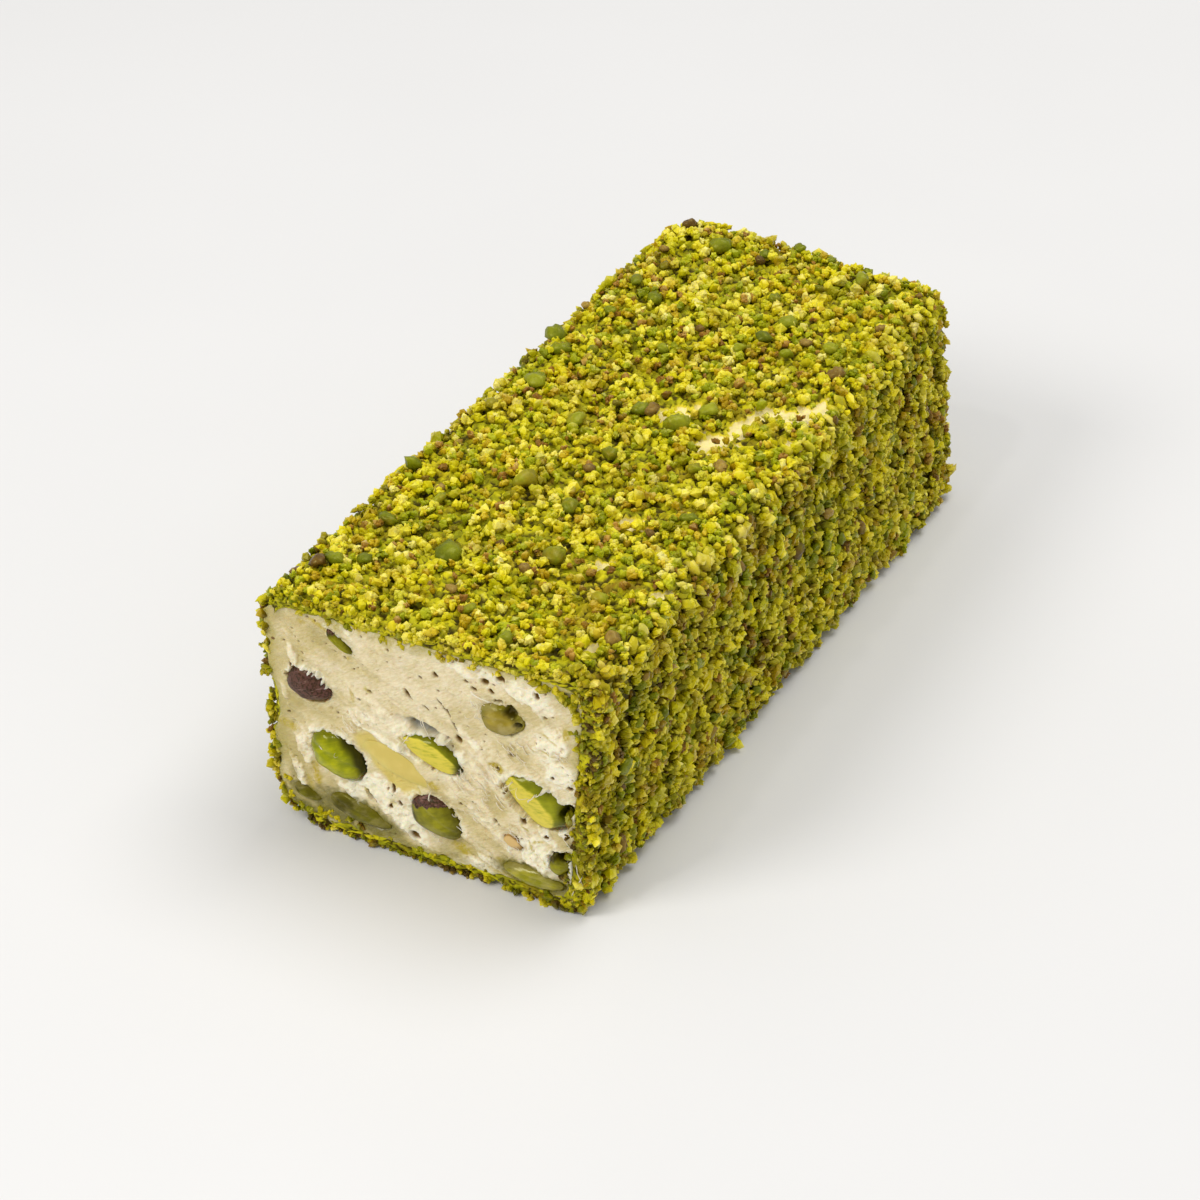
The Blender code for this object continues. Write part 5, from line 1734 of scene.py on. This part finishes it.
# Single crumbs that stand out on the rim: pixel across and down, half width in millimetres, how dull.
RIM_CRUMBS = (
    (266, 668, 0.85, 0.0), (263, 672, 0.6, 0.2), (268, 706, 0.75, 0.3), (270, 712, 0.5, 0.0),
    (272, 734, 0.8, 0.1), (273, 764, 0.8, 0.1), (276, 758, 0.5, 0.3), (284, 784, 0.8, 0.1),
    (263, 630, 0.7, 0.0), (262, 645, 0.5, 0.2), (538, 683, 0.9, 0.1), (546, 687, 1.0, 0.3),
    (554, 691, 0.9, 0.2), (561, 696, 1.0, 0.0), (568, 702, 0.9, 0.4), (573, 710, 0.8, 0.3),
    (576, 720, 0.8, 0.2), (576, 734, 0.8, 0.3), (579, 752, 0.8, 0.2), (579, 788, 0.8, 0.3),
    (582, 770, 0.8, 0.0), (585, 806, 0.8, 0.2), (591, 826, 0.9, 0.0), (593, 839, 0.9, 0.0),
    (590, 866, 0.9, 0.0), (507, 887, 0.9, 0.0), (528, 897, 0.9, 0.0), (549, 905, 0.8, 0.0),
    (568, 909, 0.8, 0.0), (587, 900, 1.0, 0.0), (470, 868, 0.5, 0.1), (420, 849, 0.6, 0.2),
    (350, 820, 0.6, 0.2), (330, 812, 0.7, 0.0), (308, 802, 0.6, 0.3), (293, 792, 0.8, 0.1),
    (301, 800, 0.9, 0.3), (312, 806, 0.8, 0.0), (322, 811, 0.9, 0.4), (338, 817, 0.7, 0.2),
    (362, 826, 0.6, 0.5), (392, 838, 0.6, 0.4), (288, 776, 0.7, 0.4), (447, 861, 0.6, 0.6),
    (435, 856, 0.5, 0.3), (329, 621, 0.6, 0.1), (348, 627, 0.7, 0.0), (384, 638, 0.8, 0.0),
    (402, 646, 0.8, 0.1), (440, 656, 0.8, 0.1), (498, 673, 0.9, 0.2), (465, 655, 0.8, 0.9),
    (430, 652, 0.6, 0.0), (516, 678, 0.7, 0.0), (300, 612, 0.7, 0.1),
)
FRINGE_STOPS = (
    (0.00, (0.06, 0.032, 0.006)), (0.14, (0.19, 0.105, 0.006)), (0.27, (0.15, 0.17, 0.003)),
    (0.42, (0.34, 0.30, 0.004)), (0.65, (0.62, 0.50, 0.007)), (1.00, (0.90, 0.76, 0.10)),
)


def make_fringe():
    """Crumbs on the rim: spread round the bar, at random depths below its surface as thick as the coat is."""
    draw = np.random.default_rng(470)
    around = draw.uniform(0, GIRTH, FRINGE_COUNT)
    places = pressed(skin(around, np.zeros(FRINGE_COUNT)))
    outward = outward_of(around, np.full(FRINGE_COUNT, 0.1))
    faces = (outward[:, 0] > FACING, outward[:, 2] > FACING, outward[:, 0] < -FACING)
    depth, shade_and_tone = (np.select(faces, column[:3], column[3]) for column in zip(*FRINGE.values()))
    depth = depth + FRINGE_CORNER * np.exp(-(((around - RIGHT_TOP) / CORNER_WIDTH) ** 2))
    thin_end = (outward[:, 2] > 0.0) & (places[:, 0] < THIN_END)
    depth = np.where(thin_end, np.minimum(depth, THIN_END_DEPTH), depth)
    kept = draw.uniform(0, FRINGE["right"][0], FRINGE_COUNT) < depth
    reach = 0.75 + 0.45 * ripple(around, 0 * around, 2.6, 471) + 0.25 * ripple(around, 0 * around, 1.1, 472)
    inward = draw.uniform(-0.05, 1.0, FRINGE_COUNT) * depth * reach
    places = places - outward * inward[:, None]
    places[:, 1] = CUT + draw.uniform(*FRINGE_STAND, FRINGE_COUNT)
    sizes = draw.uniform(*FRINGE_SIZES, FRINGE_COUNT) + LARGER_BY * draw.uniform(0, 1, FRINGE_COUNT) ** 5
    places[:, 2] = np.maximum(places[:, 2], FRINGE_FOOT)
    facing = outward + (0.0, -1.2, 0.0)
    facing /= np.linalg.norm(facing, axis=1, keepdims=True)
    named = np.array(RIM_CRUMBS)
    named_places = on_cut(named[:, :2])
    named_places = np.stack((named_places[:, 0], np.full(len(named), CUT + 0.1), named_places[:, 1]), -1)
    places = np.concatenate((places[kept], named_places))
    facing = np.concatenate((facing[kept], np.tile((0.0, -1.0, 0.0), (len(named), 1))))
    sizes = np.concatenate((sizes[kept], named[:, 2]))
    shade_and_tone = np.concatenate((shade_and_tone[kept] + draw.normal(0, 0.42, kept.sum()), named[:, 3]))
    return make_knobbly_crumbs("cut_fringe", places, facing, sizes, draw, shade_and_tone)


stick_on(make_fringe(), make_finish("crumbs at the cut", OILY, crumb_finish(FRINGE_STOPS)))


# ----------------------------------------------------------------------------------------------------------
# The floor, the light and the camera.

FLOOR_SIZE = 3.0


def floor_finish(wire):
    """A plain pale floor with the faintest mottling."""
    cloud = wire.cloud(60.0, 2.0)
    colour = cloud.between(0.3, 0.7).mixed((0.755, 0.755, 0.755), (0.765, 0.765, 0.765))
    return {"Base Color": colour}


floor_mesh = bpy.data.meshes.new("floor")
corner_signs = ((-1, -1), (1, -1), (1, 1), (-1, 1))
floor_corners = [(x * FLOOR_SIZE / 2, y * FLOOR_SIZE / 2, 0.0) for x, y in corner_signs]
floor_mesh.from_pydata(floor_corners, [], [(0, 1, 2, 3)])
floor = bpy.data.objects.new("floor", floor_mesh)
bpy.context.scene.collection.objects.link(floor)
MATT = {"Roughness": 0.55, "Specular IOR Level": 0.2}
floor_mesh.materials.append(make_finish("pale floor", MATT, floor_finish))
floor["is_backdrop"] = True

# Soft light from a pale room, a window on the left in front, a skylight behind on the right, and a small bulb
# over the front. Each lamp: where it hangs, its width, its power and its colour.
ROOM_COLOUR = (1.0, 0.99, 0.98)
ROOM_STRENGTH = 0.52
LAMPS = {
    "window": ((-0.34, -0.58, 0.60), 0.36, 3.2, (1.0, 0.98, 0.95)),
    "skylight": ((0.20, 0.28, 0.85), 0.6, 4.0, (1.0, 0.99, 0.97)),
    "bulb": ((-0.10, -0.45, 0.78), 0.05, 0.45, (1.0, 0.98, 0.95)),
}
room = bpy.data.worlds.new("pale room")
room.use_nodes = True
room_light = room.node_tree.nodes["Background"]
room_light.inputs["Color"].default_value = (*ROOM_COLOUR, 1.0)
room_light.inputs["Strength"].default_value = ROOM_STRENGTH
bpy.context.scene.world = room
for name, (place, size, power, colour) in LAMPS.items():
    light = bpy.data.lights.new(name, "AREA")
    light.shape = "DISK"
    light.size = size
    light.energy = power
    light.color = colour
    lamp = bpy.data.objects.new(name, light)
    lamp.location = place
    lamp.rotation_mode = "QUATERNION"
    lamp.rotation_quaternion = (-Vector(place)).to_track_quat("-Z", "Y")
    bpy.context.scene.collection.objects.link(lamp)

SENSOR_WIDTH = 36.0
camera_data = bpy.data.cameras.new("camera")
camera_data.sensor_width = SENSOR_WIDTH
camera_data.lens = SENSOR_WIDTH * FOCAL_PIXELS / (2 * PICTURE_MIDDLE)
camera_data.clip_start = 0.01
camera_data.clip_end = 20.0
camera = bpy.data.objects.new("camera", camera_data)
rolled_right = math.cos(CAMERA_ROLL) * rightward - math.sin(CAMERA_ROLL) * upward
rolled_up = math.cos(CAMERA_ROLL) * upward + math.sin(CAMERA_ROLL) * rightward
turn_matrix = Matrix(np.stack((rolled_right, rolled_up, -forward), -1).tolist()).to_4x4()
camera.matrix_world = Matrix.Translation(Vector((camera_place + BLOCK_MIDDLE) * MM)) @ turn_matrix
bpy.context.scene.collection.objects.link(camera)
bpy.context.scene.camera = camera
bpy.context.scene.view_settings.view_transform = "Standard"

dressed_low, dressed_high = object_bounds()
sizes = {
    "cad": [list(solid_low), list(solid_high)],
    "visual": [list(dressed_low), list(dressed_high)],
}
